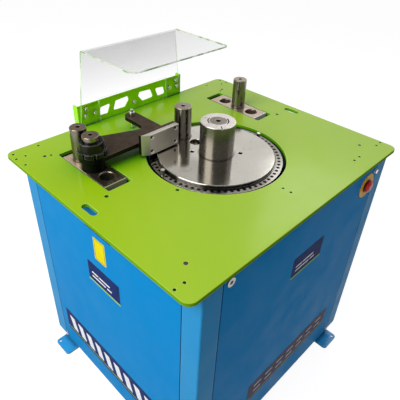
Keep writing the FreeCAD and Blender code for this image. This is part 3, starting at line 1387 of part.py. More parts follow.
node(gear("layshaft_gear", sizes["second_module"], bull, sizes["second_face"], sizes["layshaft_radius"], 90.0,
          (LAY_X, "disc_y", "table_top - second_drop")), "layshaft_gear")
motor_pinion = gear("motor_pinion", sizes["second_module"], small_teeth,
                    sizes["second_face"] + 2 * sizes["face_margin"], 0, 270.0 - half_pitch,
                    (MOTOR_X, MOTOR_Y, "table_top - second_drop - face_margin"))
shaft_foot = deck_top + " - motor_flange - reducer_length/2"
motor_rod = rod("motor_rod", (MOTOR_X, MOTOR_Y, shaft_foot), "motor_shaft_radius",
                "table_top - second_drop - (%s)" % shaft_foot)
node(fuse("motor_shaft", [motor_rod, motor_pinion]), "motor_shaft")

# Gearbox: open-bottomed housing on a base plate with bearing seats
left_wall = "disc_x - gearbox_left"
front_wall = "disc_y - gearbox_front"
housing_length = "gearbox_left + gearbox_right"
housing_width = "gearbox_front + gearbox_back"
shell = box("housing_shell", (left_wall, front_wall, BASE_TOP),
            (housing_length, housing_width, "gearbox_depth"))
inside = box("housing_inside", (left_wall + " + gearbox_wall", front_wall + " + gearbox_wall", BASE_TOP),
             (housing_length + " - 2*gearbox_wall", housing_width + " - 2*gearbox_wall",
              "gearbox_depth - gearbox_roof"))
seat_top = rod("housing_spindle_seat", ("disc_x", "disc_y", BASE_TOP), "spindle_bearing/2", "gearbox_depth")
seat_lay = rod("housing_lay_seat", (LAY_X, "disc_y", BASE_TOP), "layshaft_bearing/2", "gearbox_depth")
node(cut("gearbox_housing", shell, [inside, seat_top, seat_lay]), "gearbox_housing")
base_low = (left_wall + " - base_margin", "disc_y - base_front", deck_top)
base_plate = box("base_plate", base_low, (housing_length + " + 2*base_margin", "base_front + base_back",
                                          "base_thickness"))
base_tools = [
    rod("base_spindle_seat", ("disc_x", "disc_y", deck_top), "lower_bearing/2", "base_thickness"),
    rod("base_lay_seat", (LAY_X, "disc_y", deck_top), "layshaft_bearing/2", "base_thickness"),
    rod("base_motor_bore", (MOTOR_X, MOTOR_Y, deck_top), "motor_shaft_radius + face_margin",
        "base_thickness"),
]
gearbox_screws = []
for side, word in SIDES:
    for end, name in ENDS:
        x = "%s - base_margin + gearbox_screw" % left_wall if side < 0 else \
            "%s + %s + base_margin - gearbox_screw" % (left_wall, housing_length)
        y = "disc_y - base_front + deck_beam/2" if end < 0 else "disc_y + base_back - deck_beam/2"
        base_tools.append(rod("base_hole_%s_%s" % (name, word), (x, y, deck_top),
                              "gearbox_screw/2 + screw_gap", "base_thickness"))
        gearbox_screws.append(screw("base_screw_%s_%s" % (name, word), (x, y, BASE_TOP), "gearbox_screw",
                                    "base_thickness"))
node(cut("gearbox_base", base_plate, base_tools), "gearbox_base")


def bearing(name, place, outer, inner):
    whole = rod(name + "_outer", place, outer, "bearing_height")
    return cut(name, whole, [rod(name + "_inner", place, inner, "bearing_height")])


node(group("gearbox_bearings", [
    bearing("upper_spindle_bearing", ("disc_x", "disc_y", ROOF_TOP + " - gearbox_roof"),
            "spindle_bearing/2", "spindle_radius + fit"),
    bearing("lower_spindle_bearing", ("disc_x", "disc_y", deck_top), "lower_bearing/2", "spindle_seat + fit"),
    bearing("upper_lay_bearing", (LAY_X, "disc_y", ROOF_TOP + " - gearbox_roof"),
            "layshaft_bearing/2", "layshaft_radius + fit"),
    bearing("lower_lay_bearing", (LAY_X, "disc_y", deck_top), "layshaft_bearing/2", "layshaft_radius + fit"),
]), "gearbox_bearings")

# Geared motor hanging from the base plate, with its cowl and terminal box
flange_low = deck_top + " - motor_flange"
reducer_low = flange_low + " - reducer_length"
motor_low = reducer_low + " - motor_length"
motor_solids = [
    rod("motor_flange_disc", (MOTOR_X, MOTOR_Y, flange_low), "motor_flange_radius", "motor_flange"),
    rod("reducer_case", (MOTOR_X, MOTOR_Y, reducer_low), "reducer_radius", "reducer_length"),
    rod("motor_case", (MOTOR_X, MOTOR_Y, motor_low), "motor_radius", "motor_length"),
]
for number in range(int(sizes["fin_count"])):
    angle = number * 360.0 / sizes["fin_count"]
    fin = doc.addObject("Part::Box", "fin_%d" % number)
    bind(fin, "Length", "motor_radius + fin_height")
    bind(fin, "Width", "fin_width")
    bind(fin, "Height", "motor_length - fin_height")
    put(fin, ("%s + fin_width/2*sin(%s)" % (MOTOR_X, angle), "%s - fin_width/2*cos(%s)" % (MOTOR_Y, angle),
              motor_low),
        FreeCAD.Rotation(V(0, 0, 1), angle))
    motor_solids.append(fin)
motor_tools = [rod("reducer_bore", (MOTOR_X, MOTOR_Y, shaft_foot), "motor_shaft_radius + fit",
                   "motor_flange + reducer_length/2")]
for number in range(4):
    angle = 45 + 90 * number
    x = "%s + (reducer_radius + motor_flange_radius)/2*cos(%d)" % (MOTOR_X, angle)
    y = "%s + (reducer_radius + motor_flange_radius)/2*sin(%d)" % (MOTOR_Y, angle)
    motor_tools.append(rod("motor_flange_hole_%d" % number, (x, y, flange_low), "guard_screw/2 + screw_gap",
                           "motor_flange"))
    gearbox_screws.append(screw("motor_screw_%d" % number, (x, y, flange_low), "guard_screw",
                                "motor_flange", "z", -1))
node(cut("gear_motor", fuse("motor_solid", motor_solids), motor_tools), "gear_motor")
node(group("frame_screws", foot_screws + bar_screws + gearbox_screws), "frame_screws")
node(rod("motor_cowl", (MOTOR_X, MOTOR_Y, motor_low + " - cowl_length"), "motor_radius + fin_height",
         "cowl_length"),
     "motor_cowl")
node(box("terminal_box", ("%s + motor_radius + fin_height" % MOTOR_X, "%s - terminal_length/2" % MOTOR_Y,
                          motor_low + " + motor_length/2 - terminal_length/2"),
         ("terminal_depth", "terminal_length", "terminal_length")), "terminal_box")

# Control box on the inside of the rear panel
box_low = ("box_x - box_length/2", "cabinet_width/2 - sheet - box_depth", "table_top - box_drop - box_height")
case = box("box_case", box_low, ("box_length", "box_depth", "box_height"))
case_inside = box("box_inside", (box_low[0] + " + box_wall", box_low[1], box_low[2] + " + box_wall"),
                  ("box_length - 2*box_wall", "box_depth - box_wall", "box_height - 2*box_wall"))
node(group("control_box", [
    cut("control_case", case, [case_inside]),
    box("control_lid", (box_low[0], box_low[1] + " - box_wall", box_low[2]),
        ("box_length", "box_wall", "box_height")),
]), "control_box")

# Stop button: yellow base ring, contact block, sliding stem and twisting head
TO_FRONT = FreeCAD.Rotation(V(1, 0, 0), 90)
stop_z = "table_top - stop_drop"
face_y = "-cabinet_width/2"
stop_base = node(start_body("stop_base"), "stop_base")
revolve(stop_base, "stop_base_turn", sketch(stop_base, "stop_base_profile", "XZ_Plane", [[
    ("stop_stem/2 + fit", "-sheet"), ("stop_hole/2", "-sheet"), ("stop_hole/2", "0"), ("stop_ring/2", "0"),
    ("stop_ring/2", "stop_ring_thickness/2"), ("stop_ring/2 - stop_ring_thickness/2", "stop_ring_thickness"),
    ("stop_neck/2", "stop_ring_thickness"), ("stop_neck/2", "stop_neck_length"),
    ("stop_stem/2 + fit", "stop_neck_length")]]))
put(stop_base, ("stop_x", face_y, stop_z), TO_FRONT)
block = box("stop_block_case", ("stop_x - stop_block/2", face_y + " + sheet", stop_z + " - stop_block/2"),
            ("stop_block", "stop_block_depth", "stop_block"))
block_bore = rod("stop_block_bore", ("stop_x", face_y + " + sheet", stop_z), "stop_stem/2 + fit",
                 "stop_block_depth - box_wall", "y")
node(cut("stop_block", block, [block_bore]), "stop_block")
head_gap = "stop_neck_length + stop_travel + stop_ring_thickness/5"
stop_stem = node(turned("stop_stem", [
    ("0", head_gap + " + stop_recess - stop_stem_length"),
    ("stop_stem/2", head_gap + " + stop_recess - stop_stem_length"),
    ("stop_stem/2", head_gap + " + stop_recess - seat"), ("0", head_gap + " + stop_recess - seat")],
    ("0", "0", "0")), "stop_stem")
put(stop_stem, ("stop_x", face_y, stop_z), TO_FRONT)
stop_head = node(turned("stop_head", [
    ("stop_stem/2 + fit", head_gap), ("stop_head/2 - stop_rim_low", head_gap),
    ("stop_head/2", head_gap + " + stop_rim_low"), ("stop_head/2", head_gap + " + stop_rim_high"),
    ("stop_head/2 - stop_shoulder_inset", head_gap + " + stop_shoulder"),
    ("stop_head/2 - stop_crown_inset", head_gap + " + stop_crown"),
    ("stop_head/4", head_gap + " + stop_head_length"), ("0", head_gap + " + stop_head_length"),
    ("0", head_gap + " + stop_recess"), ("stop_stem/2 + fit", head_gap + " + stop_recess")],
    ("0", "0", "0")), "stop_head")
put(stop_head, ("stop_x", face_y, stop_z), TO_FRONT)

# Quarter turn lock of the front panel: a round case and a slotted core with a cam
lock_z = "table_top - lock_drop"
case_tools = [rod("lock_bore", ("lock_x", face_y + " - stop_ring_thickness", lock_z),
                  "lock_core - stop_ring_thickness/2 + fit",
                  "stop_ring_thickness + lock_depth", "y")]
lock_case = fuse("lock_solid", [
    rod("lock_washer", ("lock_x", face_y + " - stop_ring_thickness", lock_z), "lock_radius",
        "stop_ring_thickness", "y"),
    rod("lock_barrel", ("lock_x", face_y, lock_z), "lock_core", "lock_depth", "y")])
node(cut("lock_case", lock_case, case_tools), "lock_case")
core = rod("lock_core_rod", ("lock_x", face_y + " - lock_face", lock_z), "lock_core - stop_ring_thickness/2",
           "lock_face + lock_depth + seat", "y")
cam = box("lock_cam", ("lock_x - lock_core/2", face_y + " + lock_depth + seat", lock_z + " - lock_core/2"),
          ("lock_core", "stop_ring_thickness", "lock_core/2 + lock_radius"))
slot_cut = box("lock_slot_cut", ("lock_x - lock_slot/2", face_y + " - stop_ring_thickness",
                                 lock_z + " - lock_core"),
               ("lock_slot", "stop_ring_thickness", "2*lock_core"))
node(cut("lock_turn", fuse("lock_core_solid", [core, cam]), [slot_cut]), "lock_turn")

# Limit switch under the table, tripped by the tails of the two trip pins
roller_x = "disc_x + index_radius*cos(switch_angle)"
roller_y = "disc_y + index_radius*sin(switch_angle)"
axis_z = "table_top - switch_axis_drop"
switch_case = box("switch_case", ("%s - switch_reach - switch_length" % roller_x,
                                  "%s - switch_width/2" % roller_y,
                                  UNDER_TABLE + " - switch_height"),
                                  ("switch_length", "switch_width", "switch_height"))
switch_bore = rod("switch_bore", ("%s - switch_reach - switch_length/2" % roller_x, roller_y, axis_z),
                  "switch_shaft + fit", "switch_length/2", "x")
node(cut("limit_switch", switch_case, [switch_bore]), "limit_switch")
node(fuse("switch_lever", [
    rod("switch_lever_shaft", ("%s - switch_reach - switch_length/2 + seat" % roller_x, roller_y, axis_z),
        "switch_shaft",
        "switch_reach + switch_length/2 - seat", "x"),
    box("switch_lever_arm", ("%s - switch_shaft" % roller_x, "%s - switch_shaft" % roller_y, axis_z),
        ("switch_shaft", "2*switch_shaft", "switch_arm")),
    rod("switch_lever_roller", ("%s - switch_shaft" % roller_x, roller_y, axis_z + " + switch_arm"),
        "switch_roller",
        "2*switch_shaft", "x")]), "switch_lever")

# Cable entry in the rear panel
gland_y = "cabinet_width/2"
gland_solid = fuse("gland_solid", [
    rod("gland_thread", ("gland_x", gland_y + " - sheet - gland_length/2", "gland_rise"), "gland_body/2",
        "sheet + gland_length", "y"),
    hexagon("gland_hex", ("gland_x", gland_y, "gland_rise"), "gland_nut/2", "gland_length/2", "y"),
    hexagon("gland_lock_nut", ("gland_x", gland_y + " - sheet - gland_length/4", "gland_rise"), "gland_nut/2",
            "gland_length/4", "y"),
    cone("gland_cap", ("gland_x", gland_y + " + gland_length/2", "gland_rise"), "gland_nut/2 - sheet",
         "gland_body/2 - sheet",
         "gland_length/2", "y")])
gland_tool = rod("gland_bore", ("gland_x", gland_y + " - sheet - gland_length", "gland_rise"), "gland_hole/2",
                 "3*gland_length", "y")
node(cut("cable_gland", gland_solid, [gland_tool]), "cable_gland")

# Check every object, then write one file for each sub-part
doc.recompute()
for obj in doc.Objects:
    if "Invalid" in obj.State or "Error" in obj.State:
        raise RuntimeError("%s is %s" % (obj.Name, obj.State))
os.makedirs("parts", exist_ok=True)
for obj in nodes:
    shape = obj.Shape
    if shape.isNull() or not shape.isValid() or not shape.Solids:
        raise RuntimeError("sub-part %s has no valid solid" % obj.Label)
for obj in nodes:
    obj.Shape.exportStep("parts/%s.step" % obj.Label)
    limits = obj.Shape.BoundBox
    print("%-20s solids %2d  volume %10.0f  X %7.1f %7.1f  Y %7.1f %7.1f  Z %7.1f %7.1f" % (
        obj.Label, len(obj.Shape.Solids), obj.Shape.Volume, limits.XMin, limits.XMax,
        limits.YMin, limits.YMax, limits.ZMin, limits.ZMax))
print("sub-parts:", len(nodes))
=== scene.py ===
import bpy
import bmesh
import math
from mathutils import Matrix, Vector


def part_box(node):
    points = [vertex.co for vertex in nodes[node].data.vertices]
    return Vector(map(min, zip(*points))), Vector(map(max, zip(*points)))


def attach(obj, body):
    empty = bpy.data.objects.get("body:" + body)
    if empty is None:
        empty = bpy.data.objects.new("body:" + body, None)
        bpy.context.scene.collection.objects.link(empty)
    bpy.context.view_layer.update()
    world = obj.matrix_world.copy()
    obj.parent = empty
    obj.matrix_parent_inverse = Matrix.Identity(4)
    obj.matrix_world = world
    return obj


# Bar bending machine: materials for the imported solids, thin details on them, light and camera.
# Lengths are in metres, and a noise scale counts the cells in a metre.
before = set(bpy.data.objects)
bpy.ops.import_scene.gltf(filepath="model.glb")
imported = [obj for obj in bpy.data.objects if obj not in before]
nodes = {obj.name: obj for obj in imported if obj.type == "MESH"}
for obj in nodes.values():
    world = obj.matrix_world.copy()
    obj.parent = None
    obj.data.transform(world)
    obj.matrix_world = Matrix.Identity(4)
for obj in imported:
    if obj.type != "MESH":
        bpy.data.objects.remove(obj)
scene = bpy.context.scene


def middle(node):
    """The centre of a node's box to a tenth of a millimetre, since facets shift the ends of round ones."""
    return [round((low + high) / 2, 4) for low, high in zip(*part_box(node))]


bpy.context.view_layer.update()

# Places on the machine that the materials and the thin details refer to
DISC_AXIS = middle("bending_disc")[:2]
DISC_SHOULDER = 0.177
INDEX_START = math.radians(170.6)
INDEX_COUNT = 66
INDEX_RADIUS = 0.1905
LEVER_PIVOT = (-0.314, 0.1537)
LEVER_BOSS = 0.0412
STOP_AXIS = middle("stop_head")[::2]
STOP_COLLAR = 0.0235
LEFT_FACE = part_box("left_panel")[0][0]
FRONT_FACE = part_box("front_panel")[0][1]
SEAM_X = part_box("front_panel")[1][0]
SEAM_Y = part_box("left_panel")[1][1]

# A face counts as flat, or as leaning to one side, from this part of its normal on
FLAT = 0.7
LEANING = 0.3

# Share of the edge colour, paint wear and painted highlight, on the powder coat's sharp edges
EDGE_WEAR_AND_HIGHLIGHT = 0.75


class Graph:
    """A node tree with short helpers."""

    def __init__(self, tree):
        self.tree = tree

    def node(self, kind, **values):
        made = self.tree.nodes.new(kind)
        for key, value in values.items():
            setattr(made, key, value)
        return made

    def link(self, start, end):
        self.tree.links.new(start, end)

    def feed(self, socket, value):
        """Put a number or a colour on a socket, or join another node's output to it."""
        if isinstance(value, bpy.types.NodeSocket):
            self.link(value, socket)
        elif isinstance(value, tuple):
            socket.default_value = value + (1.0,)
        else:
            socket.default_value = value

    def calc(self, kind, first, second=0.0):
        made = self.node("ShaderNodeMath", operation=kind)
        self.feed(made.inputs[0], first)
        self.feed(made.inputs[1], second)
        return made.outputs["Value"]

    def ramp(self, source, low, high, start=0.0, end=1.0):
        """The source between start and end, as a value between low and high."""
        made = self.node("ShaderNodeMapRange")
        made.inputs["From Min"].default_value = start
        made.inputs["From Max"].default_value = end
        made.inputs["To Min"].default_value = low
        made.inputs["To Max"].default_value = high
        self.link(source, made.inputs["Value"])
        return made.outputs["Result"]

    def mix(self, factor, first, second):
        made = self.node("ShaderNodeMix", data_type="RGBA")
        self.link(factor, made.inputs[0])
        self.feed(made.inputs[6], first)
        self.feed(made.inputs[7], second)
        return made.outputs[2]

    def join(self, factor, first, second):
        """Mix two shaders."""
        made = self.node("ShaderNodeMixShader")
        self.link(factor, made.inputs[0])
        self.link(first.outputs[0], made.inputs[1])
        self.link(second.outputs[0], made.inputs[2])
        return made.outputs[0]

    def seen_rays(self):
        """1 for camera, glossy and transmission rays."""
        path = self.node("ShaderNodeLightPath").outputs
        direct = self.calc("MAXIMUM", path["Is Camera Ray"], path["Is Glossy Ray"])
        return self.calc("MAXIMUM", direct, path["Is Transmission Ray"])


# Materials
class Shader(Graph):
    """A principled material, with helpers that work in the object's own coordinates."""

    def __init__(self, name):
        self.material = bpy.data.materials.new(name)
        self.material.use_nodes = True
        super().__init__(self.material.node_tree)
        self.main = self.tree.nodes["Principled BSDF"]
        self.coords = self.node("ShaderNodeTexCoord")

    def give(self, socket, value):
        self.feed(self.main.inputs[socket], value)

    def noise(self, scale, detail=4.0, rough=0.5, stretch=None, warp=0.0):
        made = self.node("ShaderNodeTexNoise")
        made.inputs["Scale"].default_value = scale
        made.inputs["Detail"].default_value = detail
        made.inputs["Roughness"].default_value = rough
        made.inputs["Distortion"].default_value = warp
        source = self.coords.outputs["Object"]
        if stretch is not None:
            mapping = self.node("ShaderNodeMapping")
            mapping.inputs["Scale"].default_value = stretch
            self.link(source, mapping.inputs["Vector"])
            source = mapping.outputs["Vector"]
        self.link(source, made.inputs["Vector"])
        return made.outputs["Fac"]

    def parts(self, kind):
        """The three parts of the object coordinates or of the object normal."""
        made = self.node("ShaderNodeSeparateXYZ")
        self.link(self.coords.outputs[kind], made.inputs["Vector"])
        return made.outputs["X"], made.outputs["Y"], made.outputs["Z"]

    def offsets(self, centre, axis="Z"):
        """The distances along the two directions across an axis through the centre."""
        across = dict(zip("XYZ", self.parts("Object")))
        across.pop(axis)
        return [self.calc("SUBTRACT", value, place) for value, place in zip(across.values(), centre)]

    def squares(self, first, second):
        return self.calc("ADD", self.calc("POWER", first, 2.0), self.calc("POWER", second, 2.0))

    def length(self, first, second):
        return self.calc("SQRT", self.squares(first, second))

    def near(self, centre, radius, axis="Z"):
        """1 within a radius of a line along one axis."""
        return self.calc("LESS_THAN", self.squares(*self.offsets(centre, axis)), radius ** 2)

    def rounded_normal(self, radius):
        bevel = self.node("ShaderNodeBevel", samples=6)
        bevel.inputs["Radius"].default_value = radius
        return bevel.outputs["Normal"]

    def blend(self, source, first, second, start=0.3, end=0.7, most=1.0):
        """The first colour up to start, and from there more of the second, to its most at end."""
        return self.mix(self.ramp(source, 0.0, most, start, end), first, second)

    def edge_wear_and_highlight(self, tone, edge, radius, share):
        """Another colour on sharp edges, for wear and painted highlight: where the rounded normal leaves the
        face's own normal.
        """
        dot = self.node("ShaderNodeVectorMath", operation="DOT_PRODUCT")
        self.link(self.rounded_normal(radius), dot.inputs[0])
        self.link(self.node("ShaderNodeNewGeometry").outputs["Normal"], dot.inputs[1])
        sharp = self.ramp(dot.outputs["Value"], 1.0, 0.0, 0.9, 0.985)
        return self.mix(self.calc("MULTIPLY", sharp, share), tone, edge)

    def shade_and_grime_in_hollows(self, tone, shade_and_grime_color, distance, low=0.35, high=0.9):
        """Painted shade with dirt: another colour deep in holes, gaps and corners."""
        made = self.node("ShaderNodeAmbientOcclusion", samples=8)
        made.inputs["Distance"].default_value = distance
        return self.mix(self.ramp(made.outputs["AO"], 0.0, 1.0, low, high), shade_and_grime_color, tone)

    def bump(self, height, strength, distance, normal=None):
        made = self.node("ShaderNodeBump")
        made.inputs["Strength"].default_value = strength
        made.inputs["Distance"].default_value = distance
        self.link(height, made.inputs["Height"])
        if normal is not None:
            self.link(normal, made.inputs["Normal"])
        self.give("Normal", made.outputs["Normal"])


def times(color, share):
    """The colour darkened to a share of itself."""
    return tuple(share * value for value in color)


def powder(made, color, shade):
    """Clouds of two colours with fine darker specks."""
    tone = made.blend(made.noise(3.0, 3.0), color, shade)
    speck = made.ramp(made.noise(520.0, 2.0), 0.0, 1.0, 0.3, 0.7)
    return made.mix(made.calc("MULTIPLY", speck, 0.45), tone, times(color, 0.86))


def finish_paint(made, rough, edge_radius, peel):
    """Uneven gloss, orange peel and softened edges."""
    made.give("Roughness", made.ramp(made.noise(14.0, 4.0), rough * 0.85, rough * 1.25, 0.3, 0.7))
    made.bump(made.noise(420.0, 2.0), peel, 0.00015, made.rounded_normal(edge_radius * 0.8))


def paint(name, color, shade, edge, rough=0.3, edge_radius=0.0012, peel=0.35, gloss=0.5, shade_and_grime_color=None,
          depth=0.03):
    """Powder coat: slight clouding, orange peel, painted shade with dirt in the corners, and lighter edges
    of wear and painted highlight.
    """
    made = Shader(name)
    tone = powder(made, color, shade)
    tone = made.edge_wear_and_highlight(tone, edge, edge_radius, EDGE_WEAR_AND_HIGHLIGHT)
    if shade_and_grime_color is not None:
        tone = made.shade_and_grime_in_hollows(tone, shade_and_grime_color, depth)
    made.give("Base Color", tone)
    made.give("Specular IOR Level", gloss)
    finish_paint(made, rough, edge_radius, peel)
    return made.material


def table_paint(name, color, shade, edge, side_shade, shaded, shade_and_grime_color, rough, edge_radius, peel, gloss, coat):
    """Powder coat of the table: glossy on top, darker round its sides and greener where it is shaded, both
    painted shade, with painted shade and dirt in its corners and a painted highlight on its edges.
    """
    made = Shader(name)
    tone = powder(made, color, shade)
    up = made.calc("GREATER_THAN", made.parts("Normal")[2], FLAT)
    # Painted shade: the side faces take a darker colour
    tone = made.mix(up, side_shade, tone)
    tone = made.edge_wear_and_highlight(tone, edge, edge_radius, EDGE_WEAR_AND_HIGHLIGHT)
    # Painted shade: greener near other parts, then painted shade with dirt in the corners
    tone = made.shade_and_grime_in_hollows(tone, shaded, 0.13, 0.45, 0.95)
    tone = made.shade_and_grime_in_hollows(tone, shade_and_grime_color, 0.012)
    made.give("Base Color", tone)
    made.give("Specular IOR Level", made.calc("MULTIPLY", up, gloss))
    made.give("Coat Weight", made.calc("MULTIPLY", up, coat))
    made.give("Coat Roughness", 0.13)
    finish_paint(made, rough, edge_radius, peel)
    return made.material


def panel_paint(name, color, shade, edge, shade_and_grime_color, rough, edge_radius, gloss):
    """Powder coat of the panels, with a dark line of painted shade along the seams to the posts."""
    made = Shader(name)
    tone = powder(made, color, shade)
    tone = made.edge_wear_and_highlight(tone, edge, edge_radius, EDGE_WEAR_AND_HIGHLIGHT)
    # Painted shade: a dark line along the seams between the panels and the posts
    for value, seam in zip(made.parts("Object"), (SEAM_X, SEAM_Y)):
        offset = made.calc("ABSOLUTE", made.calc("SUBTRACT", made.calc("ABSOLUTE", value), seam))
        tone = made.mix(made.ramp(offset, 1.0, 0.0, 0.0012, 0.0026), tone, shade_and_grime_color)
    tone = made.shade_and_grime_in_hollows(tone, shade_and_grime_color, 0.012)
    made.give("Base Color", tone)
    made.give("Specular IOR Level", gloss)
    finish_paint(made, rough, edge_radius, 0.35)
    return made.material


def steel(name, color, dark, rough=0.3, stretch=(1.0, 1.0, 1.0), grain=60.0, stain=None, edge=None,
          edge_radius=0.0008, scratch=0.15, metallic=1.0, shade_and_grime_color=(0.012, 0.010, 0.008), depth=0.02,
          gloss=0.5):
    """Bare or treated steel: machining grain, soft stains, bright edges of wear and painted highlight, and
    dark bores of painted shade with dirt.
    """
    made = Shader(name)
    lines = made.noise(grain, 4.0, 0.55, stretch)
    cloud = made.noise(9.0, 3.0)
    tone = made.blend(lines, dark, color, 0.25, 0.75)
    if stain is not None:
        tone = made.blend(cloud, tone, stain, 0.42, 0.72, 0.7)
    if edge is not None:
        tone = made.edge_wear_and_highlight(tone, edge, edge_radius, 0.8)
    made.give("Base Color", made.shade_and_grime_in_hollows(tone, shade_and_grime_color, depth))
    made.give("Metallic", metallic)
    made.give("Specular IOR Level", gloss)
    made.give("Roughness", made.ramp(made.calc("ADD", lines, cloud), rough * 0.8, rough * 1.25, 0.7, 1.3))
    made.bump(lines, scratch, 0.00006, made.rounded_normal(edge_radius))
    return made.material


def turned_pin(name, side, stain, top, rim, rough=0.27):
    """Ground round steel: upright streaks on the side, a warmer faced top, a bright rim of painted highlight
    and painted shade with dirt in its hollows.
    """
    made = Shader(name)
    flat = made.calc("GREATER_THAN", made.parts("Normal")[2], FLAT)
    streaks = made.noise(420.0, 3.0, stretch=(0.05, 0.05, 1.0))
    stains = made.noise(26.0, 4.0, 0.6, (1.0, 1.0, 0.35))
    body = made.blend(streaks, side, times(side, 0.72), 0.3, 0.75, 0.5)
    body = made.blend(stains, body, stain, 0.5, 0.8, 0.5)
    tone = made.mix(flat, body, made.blend(made.noise(70.0, 3.0), top, times(top, 0.78)))
    # Painted highlight: a bright rim on the edges; then painted shade with dirt in the hollows
    tone = made.edge_wear_and_highlight(tone, rim, 0.0013, 0.85)
    made.give("Base Color", made.shade_and_grime_in_hollows(tone, (0.010, 0.008, 0.006), 0.012, 0.3, 0.75))
    made.give("Metallic", 1.0)
    duller = made.calc("ADD", made.calc("MULTIPLY", flat, 0.4), stains)
    made.give("Roughness", made.ramp(duller, rough * 0.85, rough * 1.5, 0.3, 1.1))
    made.bump(streaks, 0.12, 0.00005, made.rounded_normal(0.0009))
    return made.material


def index_distance(made, radius, bearing):
    """The distance from the nearest index hole's centre."""
    per_hole = 2 * math.pi / INDEX_COUNT
    turns = made.calc("MULTIPLY", made.calc("SUBTRACT", bearing, INDEX_START), 1 / per_hole)
    pitch = per_hole * INDEX_RADIUS
    aside = made.calc("MULTIPLY", made.calc("SUBTRACT", turns, made.calc("ROUND", turns)), pitch)
    return made.length(aside, made.calc("SUBTRACT", radius, INDEX_RADIUS))


def disc_steel(name):
    """Faced disc: fine turning rings round its axis, a darker outer ring, edges of wear and painted
    highlight, painted shade with dirt in its corners, and painted shade in and round the index holes.
    """
    made = Shader(name)
    across, along = made.offsets(DISC_AXIS)
    radius = made.length(across, along)
    joined = made.node("ShaderNodeCombineXYZ")
    made.link(radius, joined.inputs[0])
    turning = made.node("ShaderNodeTexNoise")
    turning.inputs["Scale"].default_value = 700.0
    turning.inputs["Detail"].default_value = 3.0
    made.link(joined.outputs[0], turning.inputs["Vector"])
    rings = turning.outputs["Fac"]
    scuff = made.noise(34.0, 5.0, 0.65, (1.0, 1.0, 1.0), 0.8)
    tone = made.blend(made.noise(7.0, 3.0), (0.60, 0.575, 0.525), (0.50, 0.475, 0.425))
    tone = made.blend(rings, tone, (0.44, 0.415, 0.37), 0.35, 0.7, 0.35)
    tone = made.blend(scuff, tone, (0.29, 0.262, 0.222), 0.58, 0.75, 0.5)
    outer = made.calc("GREATER_THAN", radius, DISC_SHOULDER)
    tone = made.mix(outer, tone, (0.235, 0.220, 0.198))
    tone = made.edge_wear_and_highlight(tone, (0.95, 0.93, 0.88), 0.0012, 0.85)
    tone = made.shade_and_grime_in_hollows(tone, (0.008, 0.007, 0.006), 0.011, 0.35, 0.85)
    # Painted shade: near black in and just round the index holes
    from_hole = index_distance(made, radius, made.calc("ARCTAN2", along, across))
    unshaded = made.ramp(from_hole, 0.0, 1.0, 0.0047, 0.0058)
    made.give("Base Color", made.mix(unshaded, (0.010, 0.009, 0.008), tone))
    made.give("Metallic", 1.0)
    made.give("Roughness", made.ramp(made.calc("ADD", rings, scuff), 0.09, 0.18, 0.8, 1.25))
    made.bump(rings, 0.06, 0.00004, made.rounded_normal(0.0009))
    return made.material


def plastic(name, color, shade, rough=0.4, spot=None, gloss=0.4):
    """Moulded plastic with a fine grain and slight clouding; spot is an inner disc of another colour."""
    made = Shader(name)
    tone = made.blend(made.noise(25.0, 3.0), color, shade)
    if spot is not None:
        centre, radius, inner = spot
        tone = made.mix(made.near(centre, radius, "Y"), tone, inner)
    made.give("Base Color", tone)
    made.give("Specular IOR Level", gloss)
    made.give("Roughness", made.ramp(made.noise(60.0, 3.0), rough * 0.8, rough * 1.3, 0.3, 0.7))
    made.bump(made.noise(900.0, 2.0), 0.2, 0.0001, made.rounded_normal(0.0006))
    return made.material


def burnished(name):
    """Lever plate: brown burnished top faces with scale marks, painted shade on the darker sides, and a
    glossy black boss.
    """
    made = Shader(name)
    flat = made.calc("GREATER_THAN", made.parts("Normal")[2], FLAT)
    scale_marks = made.noise(38.0, 5.0, 0.6, warp=0.5)
    lines = made.noise(240.0, 4.0, 0.6, (1.0, 0.25, 1.0))
    top = made.blend(scale_marks, (0.066, 0.043, 0.027), (0.044, 0.028, 0.017), 0.35)
    top = made.blend(lines, top, (0.100, 0.070, 0.048), 0.45, 0.75, 0.4)
    # Painted shade: the side faces are much darker than the top faces
    shaded_wall = made.blend(scale_marks, (0.016, 0.013, 0.007), (0.010, 0.008, 0.005), 0.35)
    tone = made.edge_wear_and_highlight(made.mix(flat, shaded_wall, top), (0.30, 0.25, 0.20), 0.0014, 0.7)
    boss = made.near(LEVER_PIVOT, LEVER_BOSS)
    tone = made.mix(boss, tone, (0.006, 0.008, 0.005))
    made.give("Base Color", made.shade_and_grime_in_hollows(tone, (0.006, 0.005, 0.004), 0.02))
    made.give("Metallic", 0.4)
    made.give("Specular IOR Level", 0.05)
    shine = made.ramp(scale_marks, 0.36, 0.54, 0.35, 0.7)
    made.give("Roughness", made.calc("SUBTRACT", shine, made.calc("MULTIPLY", boss, 0.28)))
    made.bump(lines, 0.2, 0.00010, made.rounded_normal(0.0012))
    return made.material


